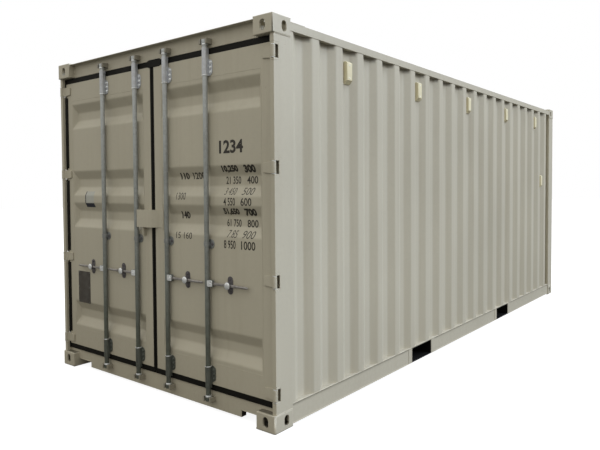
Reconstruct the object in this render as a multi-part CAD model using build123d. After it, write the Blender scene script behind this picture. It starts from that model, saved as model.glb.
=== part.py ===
from build123d import *
import math
import os

# Freight container, 20 ft long and of standard height, in millimetres.
# The origin is on the ground, in the middle of the footprint. The doors face -Y, and +X is the
# right-hand side for someone who looks at the doors.

# Overall size, over the corner castings
LENGTH = 6058
WIDTH = 2438
HEIGHT = 2591

# Corner castings
CASTING_LENGTH = 178
CASTING_WIDTH = 162
CASTING_HEIGHT = 118
CASTING_PLATE = 28
CASTING_CAP = 10
CASTING_WALL = 16
CASTING_FOOT_ROUND = 12
CASTING_HEAD_ROUND = 6
SLOT_LENGTH = 124.5
SLOT_WIDTH = 63.5
SLOT_FROM_END = 102.5
SLOT_FROM_SIDE = 89.5
HOLE_HEIGHT = 70
HOLE_WIDTH = 46
HOLE_RISE = 63
HOLE_FROM_END = 112
HOLE_FROM_SIDE = 82

# Posts and rails stand back from the faces of the castings
FRAME_INSET = 3
POST_WALL = 6
POST_END_INSET = 15
FRONT_POST_NECK = 53
TOP_RAIL = 50
TOP_RAIL_WALL = 3
ROOF_DROP = 28
BASE_GAP = 15
BOTTOM_RAIL_INSET = 11
BOTTOM_RAIL_TOP = 150
BOTTOM_RAIL_FLANGE = 48
BOTTOM_RAIL_WALL = 4.5

# Pressed sheet walls
SHEET = 2
WALL_INSET = 6
SIDE_PITCH = 277
SIDE_FIRST_FLAT = 28
SIDE_OUTER_FLAT = 72
SIDE_INNER_FLAT = 70
SIDE_DEPTH = 36
FRONT_PITCH = 250
FRONT_OUTER_FLAT = 110
FRONT_INNER_FLAT = 104
FRONT_DEPTH = 45

# Roof sheet with troughs pressed down across it
TROUGH_PITCH = 209
TROUGH_WIDTH = 90
TROUGH_FLOOR = 50
TROUGH_DEPTH = 20
TROUGH_SIDE_MARGIN = 95
TROUGH_END_MARGIN = 106
CORNER_PLATE = 4
CORNER_PLATE_REACH = 150

# Floor and underframe
FLOOR_TOP = 172
FLOOR_BOARD = 28
FLOOR_SIDE_GAP = 10
FLOOR_JOINT = 3
FLOOR_SHEETS = 5
CENTRE_RAIL = 50
CENTRE_RAIL_LIP = 4
CROSS_MEMBER_FLANGE = 45
CROSS_MEMBER_WALL = 4
CROSS_MEMBER_PITCH = 300
CROSS_MEMBER_END = 60
CROSS_MEMBER_CLEARANCE = 2.5
FORK_WIDTH = 360
FORK_HEIGHT = 112
FORK_SPACING = 2050
FORK_PLATE = 5
FORK_STRAP = 200

# Door opening, header and sill
JAMB_INSET = 35
DOOR_STOP = 18
DOOR_RECESS = 44
END_FACE_RECESS = 54
SILL_TOP = 140
SILL_LOW = 18
SILL_WALL = 5
SILL_NOTCH_FROM = 880
SILL_NOTCH_TOP = 66
HEADER_DROP = 118
HEADER_DEPTH = 100
HEADER_WALL = 4
HEADER_LIP_DROP = 12
HEADER_LIP_INSET = 9

# Door leaves
LEAF_DEPTH = 50
LEAF_EDGE_GAP = 12
LEAF_CENTRE_GAP = 44
SEAL_BAND = 45
SEAL_CLEARANCE = 5
SEAL_SIDE_CLEARANCE = 1.5
SEAL_CENTRE_GAP = 8
SEAL_STOP_GAP = 6
SEAL_LIP = 5
SEAL_BASE = 4
SEAL_FLANGE = 4.5
SEAL_FLANGE_REACH = 8
SEAL_FLANGE_GAP = 2.5
STILE_CENTRE = 84
STILE_HINGE = 86
LEAF_RAIL = 150
LEAF_TUBE_WALL = 4
PRESSING_LOW_INSET = 133
PRESSING_HIGH_INSET = 137
MIDDLE_PRESSINGS = (975, 1242)
PRESSING_HEIGHT = 204
PRESSING_FLOOR = 68
PRESSING_END_SLOPE = 40
PRESSING_MARGIN = 6
PRESSING_DEPTH = 36

# Hinges
HINGE_SIDE_INSET = 16
HINGE_END_INSET = 22
HINGE_COUNT = 4
HINGE_LOW_INSET = 54
HINGE_HIGH_INSET = 65
HINGE_NOTCH = 82
HINGE_NOTCH_DEPTH = 44
HINGE_LUG = 15
HINGE_PIN_RADIUS = 6.5
HINGE_PIN_CLEARANCE = 0.3
HINGE_BARREL_RADIUS = 14.5
HINGE_BARREL_GAP = 3
BLADE_REACH = 68
BLADE_THICKNESS = 10
BLADE_END_HEIGHT = 60

# Lock bars, their brackets, cams and keepers
BAR_RADIUS = 17
BAR_WALL = 3.5
BAR_STAND_OFF = 23
BAR_INSETS = (156, 578)
BAR_CLEARANCE = 0.4
CAM_HEIGHT = 26
CAM_REACH = 27
CAM_THICKNESS = 14
CAM_COLLAR = 21
BOTTOM_CAM_DROP = 52
TOP_CAM_RISE = 40
KEEPER_HEIGHT = 36
KEEPER_CHEEK = 8
KEEPER_GAP = 2.5
KEEPER_LIP = 5
KEEPER_LIP_GAP = 1.5
KEEPER_FRONT_INSET = 1
BRACKET_WIDTH = 104
BRACKET_HEIGHT = 110
BRACKET_LOW_MARGIN = 20
BRACKET_HIGH_MARGIN = 33
BRACKET_PLATE = 5
BRACKET_ROUND = 30
BRACKET_STRAP = 3
SLEEVE_OVERHANG_LOW = 22
SLEEVE_OVERHANG_HIGH = 42
MID_BRACKET_CENTRE = 1150
MID_BRACKET_HEIGHT = 64
MID_STRAP_HEIGHT = 30

# Handles
HANDLE_HEIGHT = 885
HANDLE_LENGTH = 380
HANDLE_BLADE = 20
HANDLE_THICKNESS = 10
HANDLE_GRIP = 110
HANDLE_PIVOT = 42
HANDLE_EYE_RADIUS = 15
HANDLE_PIN_RADIUS = 6
HANDLE_CLEARANCE = 1
HUB_PLATE = 4
HUB_HEIGHT = 46
CATCH_PLACE = 200
CATCH_WIDTH = 48
CATCH_HEIGHT = 120
CATCH_PLATE = 4
CATCH_GAP = 2
CATCH_LEDGE = 30
CATCH_HEAD_RADIUS = 26

# Padlock cover over the meeting stiles, and the lug inside it
COVER_LOW = 1240
COVER_HIGH = 1370
COVER_LEFT = 150
COVER_RIGHT = 20
COVER_FLANGE_END = 120
COVER_LID_END = 75
COVER_WALL = 4
COVER_FRONT_INSET = 3
LUG_PLACE = 95
LUG_THICKNESS = 10
LUG_RISE = 35
LUG_OVERHANG = 65
LUG_REACH = 30
LUG_HOLE_RADIUS = 8

# Ventilators in the side walls
VENT_WIDTH = 70
VENT_HEIGHT = 160
VENT_DROP = 81
LOW_VENT_DROP = 844
VENT_FIRST_RECESS = 2
VENT_RECESS_STEP = 4
VENT_FRONT_INSET = 10
VENT_ROUND = 5
VENT_FOOT_SLOPE = 26
VENT_FOOT_RUN = 25
VENT_HEAD_SLOPE = 10
VENT_HEAD_RUN = 14
VENT_SLOTS = 3
VENT_SLOT_PITCH = 8
VENT_SLOT_WIDTH = 4
VENT_SLOT_MARGIN = 6

# Places worked out from the sizes above
CASTING_X = WIDTH / 2 - CASTING_WIDTH
CASTING_Y = LENGTH / 2 - CASTING_LENGTH
FRAME_X = WIDTH / 2 - FRAME_INSET
FRAME_Y = LENGTH / 2 - FRAME_INSET
RAIL_X = WIDTH / 2 - BOTTOM_RAIL_INSET
POST_FOOT = CASTING_HEIGHT
POST_HEAD = HEIGHT - CASTING_HEIGHT
TOP_RAIL_HIGH = HEIGHT - ROOF_DROP
TOP_RAIL_LOW = TOP_RAIL_HIGH - TOP_RAIL
WALL_X = WIDTH / 2 - WALL_INSET
WALL_Y = LENGTH / 2 - WALL_INSET
JAMB_X = WIDTH / 2 - JAMB_INSET
HEADER_LOW = HEIGHT - HEADER_DROP
LEAF_FACE = -(LENGTH / 2 - DOOR_RECESS)
LEAF_BACK = LEAF_FACE + LEAF_DEPTH
STOP_Y = LEAF_BACK + SEAL_STOP_GAP
END_FACE = -(LENGTH / 2 - END_FACE_RECESS)
POST_FACE = -(LENGTH / 2 - POST_END_INSET)
LEAF_LOW = SILL_TOP + SEAL_BAND
LEAF_HIGH = HEADER_LOW - SEAL_BAND
LEAF_EDGE = JAMB_X - LEAF_EDGE_GAP
LEAF_CENTRE = LEAF_CENTRE_GAP / 2
PANEL_LEFT = LEAF_CENTRE + STILE_CENTRE
PANEL_RIGHT = LEAF_EDGE - STILE_HINGE
PANEL_LOW = LEAF_LOW + LEAF_RAIL
PANEL_HIGH = LEAF_HIGH - LEAF_RAIL
PRESSING_CENTRES = [
    PANEL_LOW + PRESSING_LOW_INSET,
    *[PANEL_LOW + rise for rise in MIDDLE_PRESSINGS],
    PANEL_HIGH - PRESSING_HIGH_INSET,
]
HINGE_X = WIDTH / 2 - HINGE_SIDE_INSET
HINGE_Y = -(LENGTH / 2 - HINGE_END_INSET)
HINGE_STEP = (LEAF_HIGH - HINGE_HIGH_INSET - LEAF_LOW - HINGE_LOW_INSET) / (HINGE_COUNT - 1)
HINGE_HEIGHTS = [LEAF_LOW + HINGE_LOW_INSET + number * HINGE_STEP for number in range(HINGE_COUNT)]
BAR_PLACES = [LEAF_CENTRE + inset for inset in BAR_INSETS]
BAR_Y = LEAF_FACE - BAR_STAND_OFF
BOTTOM_CAM = SILL_TOP - BOTTOM_CAM_DROP
TOP_CAM = HEADER_LOW + TOP_CAM_RISE
FLOOR_LOW = FLOOR_TOP - FLOOR_BOARD
CROSS_MEMBER_LOW = BASE_GAP + BOTTOM_RAIL_WALL + CROSS_MEMBER_CLEARANCE
SIDE_SLOPE = (SIDE_PITCH - SIDE_OUTER_FLAT - SIDE_INNER_FLAT) / 2
SIDE_RECESSES = int((2 * CASTING_Y - SIDE_FIRST_FLAT) // SIDE_PITCH) + 1


def block(x_range, y_range, z_range):
    """Box between two coordinates along each axis."""
    ranges = (x_range, y_range, z_range)
    sizes = [high - low for low, high in ranges]
    middle = [(high + low) / 2 for low, high in ranges]
    return Pos(*middle) * Box(*sizes)


def outline(points):
    """Flat face inside a closed line of points."""
    return make_face(Polyline(*points, close=True))


def upright(points, z_low, z_high):
    """Prism with an (X, Y) outline, standing between two heights."""
    return extrude(Plane.XY.offset(z_low) * outline(points), amount=z_high - z_low)


def across(points, x_low, x_high):
    """Prism with a (Y, Z) outline, running along X."""
    return extrude(Plane.YZ.offset(x_low) * outline(points), amount=x_high - x_low)


def along(points, y_low, y_high):
    """Prism with an (X, Z) outline, running along Y."""
    return extrude(Plane.XZ.offset(-y_low) * outline(points), amount=y_low - y_high)


def folded(points, sheet, side):
    """Closed outline of a folded sheet, whose outer side follows the points."""
    return make_face(offset(Polyline(*points), amount=sheet, side=side, kind=Kind.INTERSECTION))


def corrugation(length, recesses, first_flat, pitch, outer_flat, inner_flat, depth):
    """Points (along, inward) of a trapezoid corrugation, cut off on one of its flats."""
    slope = (pitch - outer_flat - inner_flat) / 2
    points = [(0, 0)]
    for number in range(recesses):
        start = first_flat + number * pitch
        points.append((start, 0))
        points.append((start + slope, depth))
        points.append((start + slope + inner_flat, depth))
        points.append((start + pitch - outer_flat, 0))
    kept = [point for point in points if point[0] < length]
    return kept + [(length, kept[-1][1])]


def pan(width, height, slope_x, slope_y, depth):
    """Tapered pan with its mouth on the XY plane and its floor at +Z, closed by four slopes."""
    mouth = Rectangle(width, height)
    floor = Pos(0, 0, depth) * Rectangle(width - 2 * slope_x, height - 2 * slope_y)
    return loft([mouth, floor], ruled=True)


def sheet_pan(width, height, slope_x, slope_y, depth, sheet):
    """Outer body of a pressed pan: the pan itself grown by the thickness of its sheet."""
    grow_x = sheet * math.hypot(slope_x, depth) / depth
    grow_y = sheet * math.hypot(slope_y, depth) / depth
    deeper_x = slope_x * (depth + sheet) / depth
    deeper_y = slope_y * (depth + sheet) / depth
    return pan(width + 2 * grow_x, height + 2 * grow_y, deeper_x, deeper_y, depth + sheet)


def both_sides(piece):
    """A piece of the right-hand side and its mirror image on the left."""
    return [piece, mirror(piece, about=Plane.YZ)]


def four_corners(piece):
    """A piece of one corner and its mirror images in the three others."""
    return [copy for side in both_sides(piece) for copy in (side, mirror(side, about=Plane.XZ))]


def write(name, pieces):
    """Write the solids of one sub-part to its own file."""
    solids = [solid for piece in pieces for solid in piece.solids()]
    shape = solids[0] if len(solids) == 1 else Compound(children=solids)
    export_step(shape, f"parts/{name}.step")


def bottom_casting(rim_round):
    """Hollow corner casting, slotted below, with an upright oval hole in each outer face."""
    outer_x = WIDTH / 2
    outer_y = LENGTH / 2
    body = block((CASTING_X, outer_x), (CASTING_Y, outer_y), (0, CASTING_HEIGHT))
    uprights = body.edges().filter_by(Axis.Z).sort_by(lambda edge: edge.center().X + edge.center().Y)
    rim = body.edges().group_by(Axis.Z)[0]
    body = fillet(rim + [uprights[-1]], rim_round)
    cavity = block(
        (CASTING_X + CASTING_WALL, outer_x - CASTING_WALL),
        (CASTING_Y + CASTING_WALL, outer_y - CASTING_WALL),
        (CASTING_PLATE, CASTING_HEIGHT - CASTING_CAP),
    )
    slot_place = Pos(outer_x - SLOT_FROM_SIDE, outer_y - SLOT_FROM_END)
    slot = extrude(slot_place * SlotOverall(SLOT_LENGTH, SLOT_WIDTH, rotation=90), amount=CASTING_PLATE)
    hole = SlotOverall(HOLE_HEIGHT, HOLE_WIDTH, rotation=90)
    side_plane = Plane.YZ.offset(outer_x - CASTING_WALL) * Pos(outer_y - HOLE_FROM_END, HOLE_RISE)
    side_hole = extrude(side_plane * hole, amount=CASTING_WALL)
    end_plane = Plane.XZ.offset(-outer_y) * Pos(outer_x - HOLE_FROM_SIDE, HOLE_RISE)
    end_hole = extrude(end_plane * hole, amount=CASTING_WALL)
    return body - cavity - slot - side_hole - end_hole


def top_casting():
    """The bottom casting turned over, at the height of the roof."""
    return mirror(bottom_casting(CASTING_HEAD_ROUND), about=Plane.XY.offset(HEIGHT / 2))


def hinge_notch(z_middle, height):
    """Space cut out of the outer corner of the rear post at one hinge."""
    half = height / 2
    return block(
        (JAMB_X - FRAME_INSET, WIDTH / 2),
        (-LENGTH / 2, POST_FACE + HINGE_NOTCH_DEPTH),
        (z_middle - half, z_middle + half),
    )


def rear_post():
    """Hollow post beside the doors: a narrow end face, a jamb, a door stop and the side face."""
    inner_x = JAMB_X - DOOR_STOP
    skin = [
        (FRAME_X, POST_FACE),
        (JAMB_X, POST_FACE),
        (JAMB_X, STOP_Y),
        (inner_x, STOP_Y),
        (inner_x, -CASTING_Y),
        (FRAME_X, -CASTING_Y),
    ]
    hollow = [
        (FRAME_X - POST_WALL, POST_FACE + POST_WALL),
        (JAMB_X + POST_WALL, POST_FACE + POST_WALL),
        (JAMB_X + POST_WALL, STOP_Y + POST_WALL),
        (inner_x + POST_WALL, STOP_Y + POST_WALL),
        (inner_x + POST_WALL, -CASTING_Y - POST_WALL),
        (FRAME_X - POST_WALL, -CASTING_Y - POST_WALL),
    ]
    post = upright(skin, POST_FOOT, POST_HEAD) - upright(hollow, POST_FOOT, POST_HEAD)
    for height in HINGE_HEIGHTS:
        post -= hinge_notch(height, HINGE_NOTCH + 2 * HINGE_LUG)
    return post


def front_post():
    """Hollow post at the closed end, with a slanted inner face between the two walls."""
    neck_x = FRAME_X - FRONT_POST_NECK + POST_WALL
    neck_y = FRAME_Y - FRONT_POST_NECK
    skin = [
        (FRAME_X, CASTING_Y),
        (FRAME_X, FRAME_Y),
        (CASTING_X, FRAME_Y),
        (CASTING_X, neck_y),
        (neck_x, CASTING_Y),
    ]
    hollow = offset(outline(skin), amount=-POST_WALL, kind=Kind.INTERSECTION)
    section = outline(skin) - hollow
    return extrude(Plane.XY.offset(POST_FOOT) * section, amount=POST_HEAD - POST_FOOT)


def door_header():
    """Hollow beam over the doors, whose front plate rises above the roof and ends in a rain lip."""
    x_range = (-CASTING_X, CASTING_X)
    header_back = END_FACE + HEADER_DEPTH
    wall = HEADER_WALL
    lip_top = HEIGHT - HEADER_LIP_DROP
    lip_front = -(LENGTH / 2 - HEADER_LIP_INSET)
    beam = block(x_range, (END_FACE, header_back), (HEADER_LOW, TOP_RAIL_HIGH))
    beam -= block(x_range, (END_FACE + wall, header_back - wall), (HEADER_LOW + wall, TOP_RAIL_HIGH - wall))
    front = block(x_range, (END_FACE, END_FACE + wall), (TOP_RAIL_HIGH, lip_top))
    lip = block(x_range, (lip_front, END_FACE), (lip_top - wall, lip_top))
    return beam + front + lip


def door_sill():
    """Folded sill under the doors, open behind, with an apron between two notches."""
    depth = (END_FACE, STOP_Y)
    face = (END_FACE, END_FACE + SILL_WALL)
    apron_x = (-SILL_NOTCH_FROM, SILL_NOTCH_FROM)
    sill = block((-JAMB_X, JAMB_X), depth, (SILL_TOP - SILL_WALL, SILL_TOP))
    sill += block((-JAMB_X, JAMB_X), face, (POST_FOOT, SILL_TOP))
    sill += block((-CASTING_X, CASTING_X), face, (SILL_NOTCH_TOP, POST_FOOT))
    sill += block(apron_x, face, (SILL_LOW, SILL_NOTCH_TOP))
    sill += block(apron_x, depth, (SILL_LOW, SILL_LOW + SILL_WALL))
    end_plate = block((SILL_NOTCH_FROM - SILL_WALL, SILL_NOTCH_FROM), depth, (SILL_LOW, SILL_TOP))
    for plate in both_sides(end_plate):
        sill += plate
    return sill


def front_top_rail():
    """Square tube between the top castings of the closed end."""
    y_range = (FRAME_Y - TOP_RAIL, FRAME_Y)
    wall = TOP_RAIL_WALL
    tube = block((-CASTING_X, CASTING_X), y_range, (TOP_RAIL_LOW, TOP_RAIL_HIGH))
    hollow = block(
        (-CASTING_X, CASTING_X),
        (y_range[0] + wall, y_range[1] - wall),
        (TOP_RAIL_LOW + wall, TOP_RAIL_HIGH - wall),
    )
    return tube - hollow


def front_bottom_rail():
    """Channel between the bottom castings of the closed end, open inwards."""
    points = [
        (FRAME_Y - BOTTOM_RAIL_FLANGE, BASE_GAP),
        (FRAME_Y, BASE_GAP),
        (FRAME_Y, BOTTOM_RAIL_TOP),
        (FRAME_Y - BOTTOM_RAIL_FLANGE, BOTTOM_RAIL_TOP),
    ]
    section = folded(points, BOTTOM_RAIL_WALL, Side.LEFT)
    return extrude(Plane.YZ.offset(-CASTING_X) * section, amount=2 * CASTING_X)


def top_side_rail():
    """Square tube between the top castings of the right-hand side."""
    x_range = (FRAME_X - TOP_RAIL, FRAME_X)
    wall = TOP_RAIL_WALL
    tube = block(x_range, (-CASTING_Y, CASTING_Y), (TOP_RAIL_LOW, TOP_RAIL_HIGH))
    hollow = block(
        (x_range[0] + wall, x_range[1] - wall),
        (-CASTING_Y, CASTING_Y),
        (TOP_RAIL_LOW + wall, TOP_RAIL_HIGH - wall),
    )
    return tube - hollow


def fork_mouth(y_middle, grow):
    """Space of one fork pocket through both sides, grown all round by the given amount."""
    half = FORK_WIDTH / 2 + grow
    low = BASE_GAP + FORK_PLATE
    return block(
        (-WIDTH / 2, WIDTH / 2), (y_middle - half, y_middle + half), (low - grow, low + FORK_HEIGHT + grow)
    )


def bottom_side_rail():
    """Channel between the bottom castings of the right-hand side, cut for the fork pockets."""
    points = [
        (RAIL_X - BOTTOM_RAIL_FLANGE, BASE_GAP),
        (RAIL_X, BASE_GAP),
        (RAIL_X, BOTTOM_RAIL_TOP),
        (RAIL_X - BOTTOM_RAIL_FLANGE, BOTTOM_RAIL_TOP),
    ]
    section = folded(points, BOTTOM_RAIL_WALL, Side.LEFT)
    rail = extrude(Plane.XZ.offset(CASTING_Y) * section, amount=-2 * CASTING_Y)
    for y_middle in (-FORK_SPACING / 2, FORK_SPACING / 2):
        rail -= fork_mouth(y_middle, FORK_PLATE)
    return rail


def fork_pocket(y_middle):
    """Lined tunnel for a lift truck's fork, with a strap across its mouth at both sides."""
    tunnel = fork_mouth(y_middle, FORK_PLATE) - fork_mouth(y_middle, 0)
    inner = WIDTH / 2 - FORK_STRAP
    half = FORK_WIDTH / 2
    belly = block((-inner, inner), (y_middle - half, y_middle + half), (0, BASE_GAP + FORK_PLATE))
    ends = block((-RAIL_X, RAIL_X), (-CASTING_Y, CASTING_Y), (0, BOTTOM_RAIL_TOP))
    return (tunnel & ends) - belly


def cross_members():
    """Row of channels under the floor, from rail to rail, with none inside a fork pocket."""
    reach = RAIL_X - BOTTOM_RAIL_WALL
    first = -CASTING_Y + CROSS_MEMBER_END
    last = CASTING_Y - CROSS_MEMBER_END - CROSS_MEMBER_FLANGE
    count = int((last - first) // CROSS_MEMBER_PITCH) + 1
    step = (last - first) / (count - 1)
    pocket = FORK_WIDTH / 2 + FORK_PLATE + CROSS_MEMBER_FLANGE
    members = []
    for number in range(count):
        y = first + number * step
        if abs(abs(y) - FORK_SPACING / 2) < pocket:
            continue
        points = [
            (y + CROSS_MEMBER_FLANGE, CROSS_MEMBER_LOW),
            (y, CROSS_MEMBER_LOW),
            (y, FLOOR_LOW),
            (y + CROSS_MEMBER_FLANGE, FLOOR_LOW),
        ]
        section = folded(points, CROSS_MEMBER_WALL, Side.RIGHT)
        members.append(extrude(Plane.YZ.offset(-reach) * section, amount=2 * reach))
    return members


def floor_boards():
    """Plywood sheets in two rows, one each side of the centre rail, notched round the front posts."""
    inner = CENTRE_RAIL / 2
    outer = RAIL_X - BOTTOM_RAIL_FLANGE - FLOOR_JOINT
    low_y = STOP_Y
    high_y = WALL_Y - FRONT_DEPTH - SHEET - FLOOR_SIDE_GAP
    step = (high_y - low_y + FLOOR_JOINT) / FLOOR_SHEETS
    sheets = []
    for number in range(FLOOR_SHEETS):
        start = low_y + number * step
        sheets.append(block((inner, outer), (start, start + step - FLOOR_JOINT), (FLOOR_LOW, FLOOR_TOP)))
    corner = CASTING_Y - FLOOR_SIDE_GAP
    sheets[-1] -= block((CASTING_X - FLOOR_JOINT, outer), (corner, FRAME_Y), (FLOOR_LOW, FLOOR_TOP))
    return [copy for sheet in sheets for copy in both_sides(sheet)]


def floor_centre_rail():
    """Flat-topped steel rail that holds the inner edges of the plywood."""
    high_y = WALL_Y - FRONT_DEPTH - SHEET - FLOOR_SIDE_GAP
    half = CENTRE_RAIL / 2
    points = [
        (-half, FLOOR_LOW),
        (-half, FLOOR_TOP),
        (half, FLOOR_TOP),
        (half, FLOOR_LOW),
    ]
    section = folded(points, CENTRE_RAIL_LIP, Side.RIGHT)
    return extrude(Plane.XZ.offset(-STOP_Y) * section, amount=STOP_Y - high_y)


def side_wall():
    """Corrugated sheet of the right-hand side, between the bottom rail and the top rail."""
    length = 2 * CASTING_Y
    waves = corrugation(
        length, SIDE_RECESSES, SIDE_FIRST_FLAT, SIDE_PITCH, SIDE_OUTER_FLAT, SIDE_INNER_FLAT, SIDE_DEPTH
    )
    points = [(WALL_X - inward, along_wall - CASTING_Y) for along_wall, inward in waves]
    section = folded(points, SHEET, Side.LEFT)
    return extrude(Plane.XY.offset(BOTTOM_RAIL_TOP) * section, amount=TOP_RAIL_LOW - BOTTOM_RAIL_TOP)


def front_wall():
    """Corrugated sheet of the closed end."""
    length = 2 * CASTING_X
    recesses = int(length // FRONT_PITCH)
    first_flat = (length - recesses * FRONT_PITCH + FRONT_OUTER_FLAT) / 2
    waves = corrugation(
        length, recesses, first_flat, FRONT_PITCH, FRONT_OUTER_FLAT, FRONT_INNER_FLAT, FRONT_DEPTH
    )
    points = [(along_wall - CASTING_X, WALL_Y - inward) for along_wall, inward in waves]
    section = folded(points, SHEET, Side.RIGHT)
    return extrude(Plane.XY.offset(BOTTOM_RAIL_TOP) * section, amount=TOP_RAIL_LOW - BOTTOM_RAIL_TOP)


def roof_panel():
    """Roof sheet on top of the rails, with a row of closed troughs pressed down across it."""
    low = TOP_RAIL_HIGH
    roof = block((-FRAME_X, FRAME_X), (-CASTING_Y, CASTING_Y), (low, low + SHEET))
    roof += block((-CASTING_X, CASTING_X), (END_FACE + HEADER_WALL, FRAME_Y), (low, low + SHEET))
    trough_length = 2 * (FRAME_X - TROUGH_SIDE_MARGIN)
    first = -CASTING_Y + TROUGH_END_MARGIN
    last = CASTING_Y - TROUGH_END_MARGIN
    count = int((last - first) // TROUGH_PITCH) + 1
    step = (last - first) / (count - 1)
    slope = (TROUGH_WIDTH - TROUGH_FLOOR) / 2
    down = Plane.XY.rotated((180, 0, 0))
    for number in range(count):
        place = Pos(0, first + number * step, low + SHEET) * down.location
        roof += place * sheet_pan(trough_length, TROUGH_WIDTH, slope, slope, TROUGH_DEPTH, SHEET)
    for number in range(count):
        place = Pos(0, first + number * step, low + SHEET) * down.location
        roof -= place * pan(trough_length, TROUGH_WIDTH, slope, slope, TROUGH_DEPTH)
    return roof


def roof_corner_plate():
    """Flat plate round one top casting, on the roof sheet."""
    low = TOP_RAIL_HIGH + SHEET
    plate = block(
        (CASTING_X - CORNER_PLATE_REACH, FRAME_X),
        (CASTING_Y - CORNER_PLATE_REACH, -END_FACE - HEADER_WALL),
        (low, low + CORNER_PLATE),
    )
    casting = block((CASTING_X, WIDTH / 2), (CASTING_Y, LENGTH / 2), (POST_HEAD, HEIGHT))
    return plate - casting


def ventilator(recess, top):
    """Moulded hood on the floor of one recess of the wall, with slots in its sloped foot."""
    start = SIDE_FIRST_FLAT + recess * SIDE_PITCH - CASTING_Y
    middle = start + SIDE_SLOPE + SIDE_INNER_FLAT / 2
    back_x = WALL_X - SIDE_DEPTH
    front_x = WIDTH / 2 - VENT_FRONT_INSET
    half = VENT_WIDTH / 2
    low = top - VENT_HEIGHT
    vent = block((back_x, front_x), (middle - half, middle + half), (low, top))
    vent = fillet(vent.edges().filter_by(Axis.Z).group_by(Axis.X)[-1], VENT_ROUND)
    foot = [(front_x - VENT_FOOT_RUN, low), (front_x, low), (front_x, low + VENT_FOOT_SLOPE)]
    vent -= along(foot, middle - half, middle + half)
    head = [(front_x - VENT_HEAD_RUN, top), (front_x, top), (front_x, top - VENT_HEAD_SLOPE)]
    vent -= along(head, middle - half, middle + half)
    for number in range(VENT_SLOTS):
        slot_x = front_x - VENT_FOOT_RUN + number * VENT_SLOT_PITCH
        vent -= block(
            (slot_x, slot_x + VENT_SLOT_WIDTH),
            (middle - half + VENT_SLOT_MARGIN, middle + half - VENT_SLOT_MARGIN),
            (low, low + VENT_FOOT_SLOPE),
        )
    return vent


def ventilators():
    """Five covers high on each side wall and one lower down near the closed end."""
    recesses = range(VENT_FIRST_RECESS, SIDE_RECESSES, VENT_RECESS_STEP)
    vents = [ventilator(recess, TOP_RAIL_LOW - VENT_DROP) for recess in recesses]
    vents.append(ventilator(SIDE_RECESSES - 2, TOP_RAIL_LOW - LOW_VENT_DROP))
    return [copy for vent in vents for copy in both_sides(vent)]


def cam_keeper(x, z_middle):
    """Two cheeks that stand out from the end frame each side of a cam, with turned-in lips."""
    cheek_inner = CAM_REACH + KEEPER_GAP
    front = -(LENGTH / 2 - KEEPER_FRONT_INSET)
    lip_back = front + KEEPER_LIP
    lip_reach = math.sqrt((CAM_REACH + KEEPER_LIP_GAP) ** 2 - (BAR_Y - lip_back) ** 2)
    z_range = (z_middle - KEEPER_HEIGHT / 2, z_middle + KEEPER_HEIGHT / 2)
    cheek = block((cheek_inner, cheek_inner + KEEPER_CHEEK), (front, END_FACE), z_range)
    lip = block((lip_reach, cheek_inner), (front, lip_back), z_range)
    return [Pos(x, 0, 0) * side for side in both_sides(cheek + lip)]


def cam_keepers():
    """Keepers of all four lock bars, on the header and on the sill."""
    keepers = []
    for place in BAR_PLACES:
        for height in (BOTTOM_CAM, TOP_CAM):
            keepers += cam_keeper(place, height) + cam_keeper(-place, height)
    return keepers


def hinge_pin(height):
    """Pin between two lugs that fill the ends of one notch in the right-hand rear post."""
    half = HINGE_NOTCH / 2
    x_range = (JAMB_X, FRAME_X)
    y_range = (POST_FACE, POST_FACE + HINGE_NOTCH_DEPTH)
    lower = block(x_range, y_range, (height - half - HINGE_LUG, height - half))
    upper = block(x_range, y_range, (height + half, height + half + HINGE_LUG))
    pin = Pos(HINGE_X, HINGE_Y, height) * Cylinder(HINGE_PIN_RADIUS, HINGE_NOTCH)
    return lower + pin + upper


def hinge_blade(height):
    """Tapered blade on the right-hand leaf, cranked forward to a barrel round the hinge pin."""
    half = HINGE_NOTCH / 2 - HINGE_BARREL_GAP
    back = LEAF_FACE
    front = back - BLADE_THICKNESS
    plan = [
        (LEAF_EDGE - BLADE_REACH, back),
        (LEAF_EDGE - BLADE_REACH, front),
        (LEAF_EDGE + BLADE_THICKNESS / 2, front),
        (HINGE_X - HINGE_BARREL_RADIUS, HINGE_Y),
        (HINGE_X, HINGE_Y + HINGE_BARREL_RADIUS),
        (LEAF_EDGE + BLADE_THICKNESS, back),
    ]
    arm = upright(plan, height - half, height + half)
    end_half = BLADE_END_HEIGHT / 2
    taper = [
        (LEAF_EDGE - BLADE_REACH, height - end_half),
        (LEAF_EDGE - BLADE_REACH, height + end_half),
        (LEAF_EDGE, height + half),
        (HINGE_X, height + half),
        (HINGE_X, height - half),
        (LEAF_EDGE, height - half),
    ]
    arm &= along(taper, -LENGTH / 2, back)
    barrel = Pos(HINGE_X, HINGE_Y, height) * Cylinder(HINGE_BARREL_RADIUS, 2 * half)
    bore = Pos(HINGE_X, HINGE_Y, height) * Cylinder(HINGE_PIN_RADIUS + HINGE_PIN_CLEARANCE, 2 * half)
    return arm + barrel - bore


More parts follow.
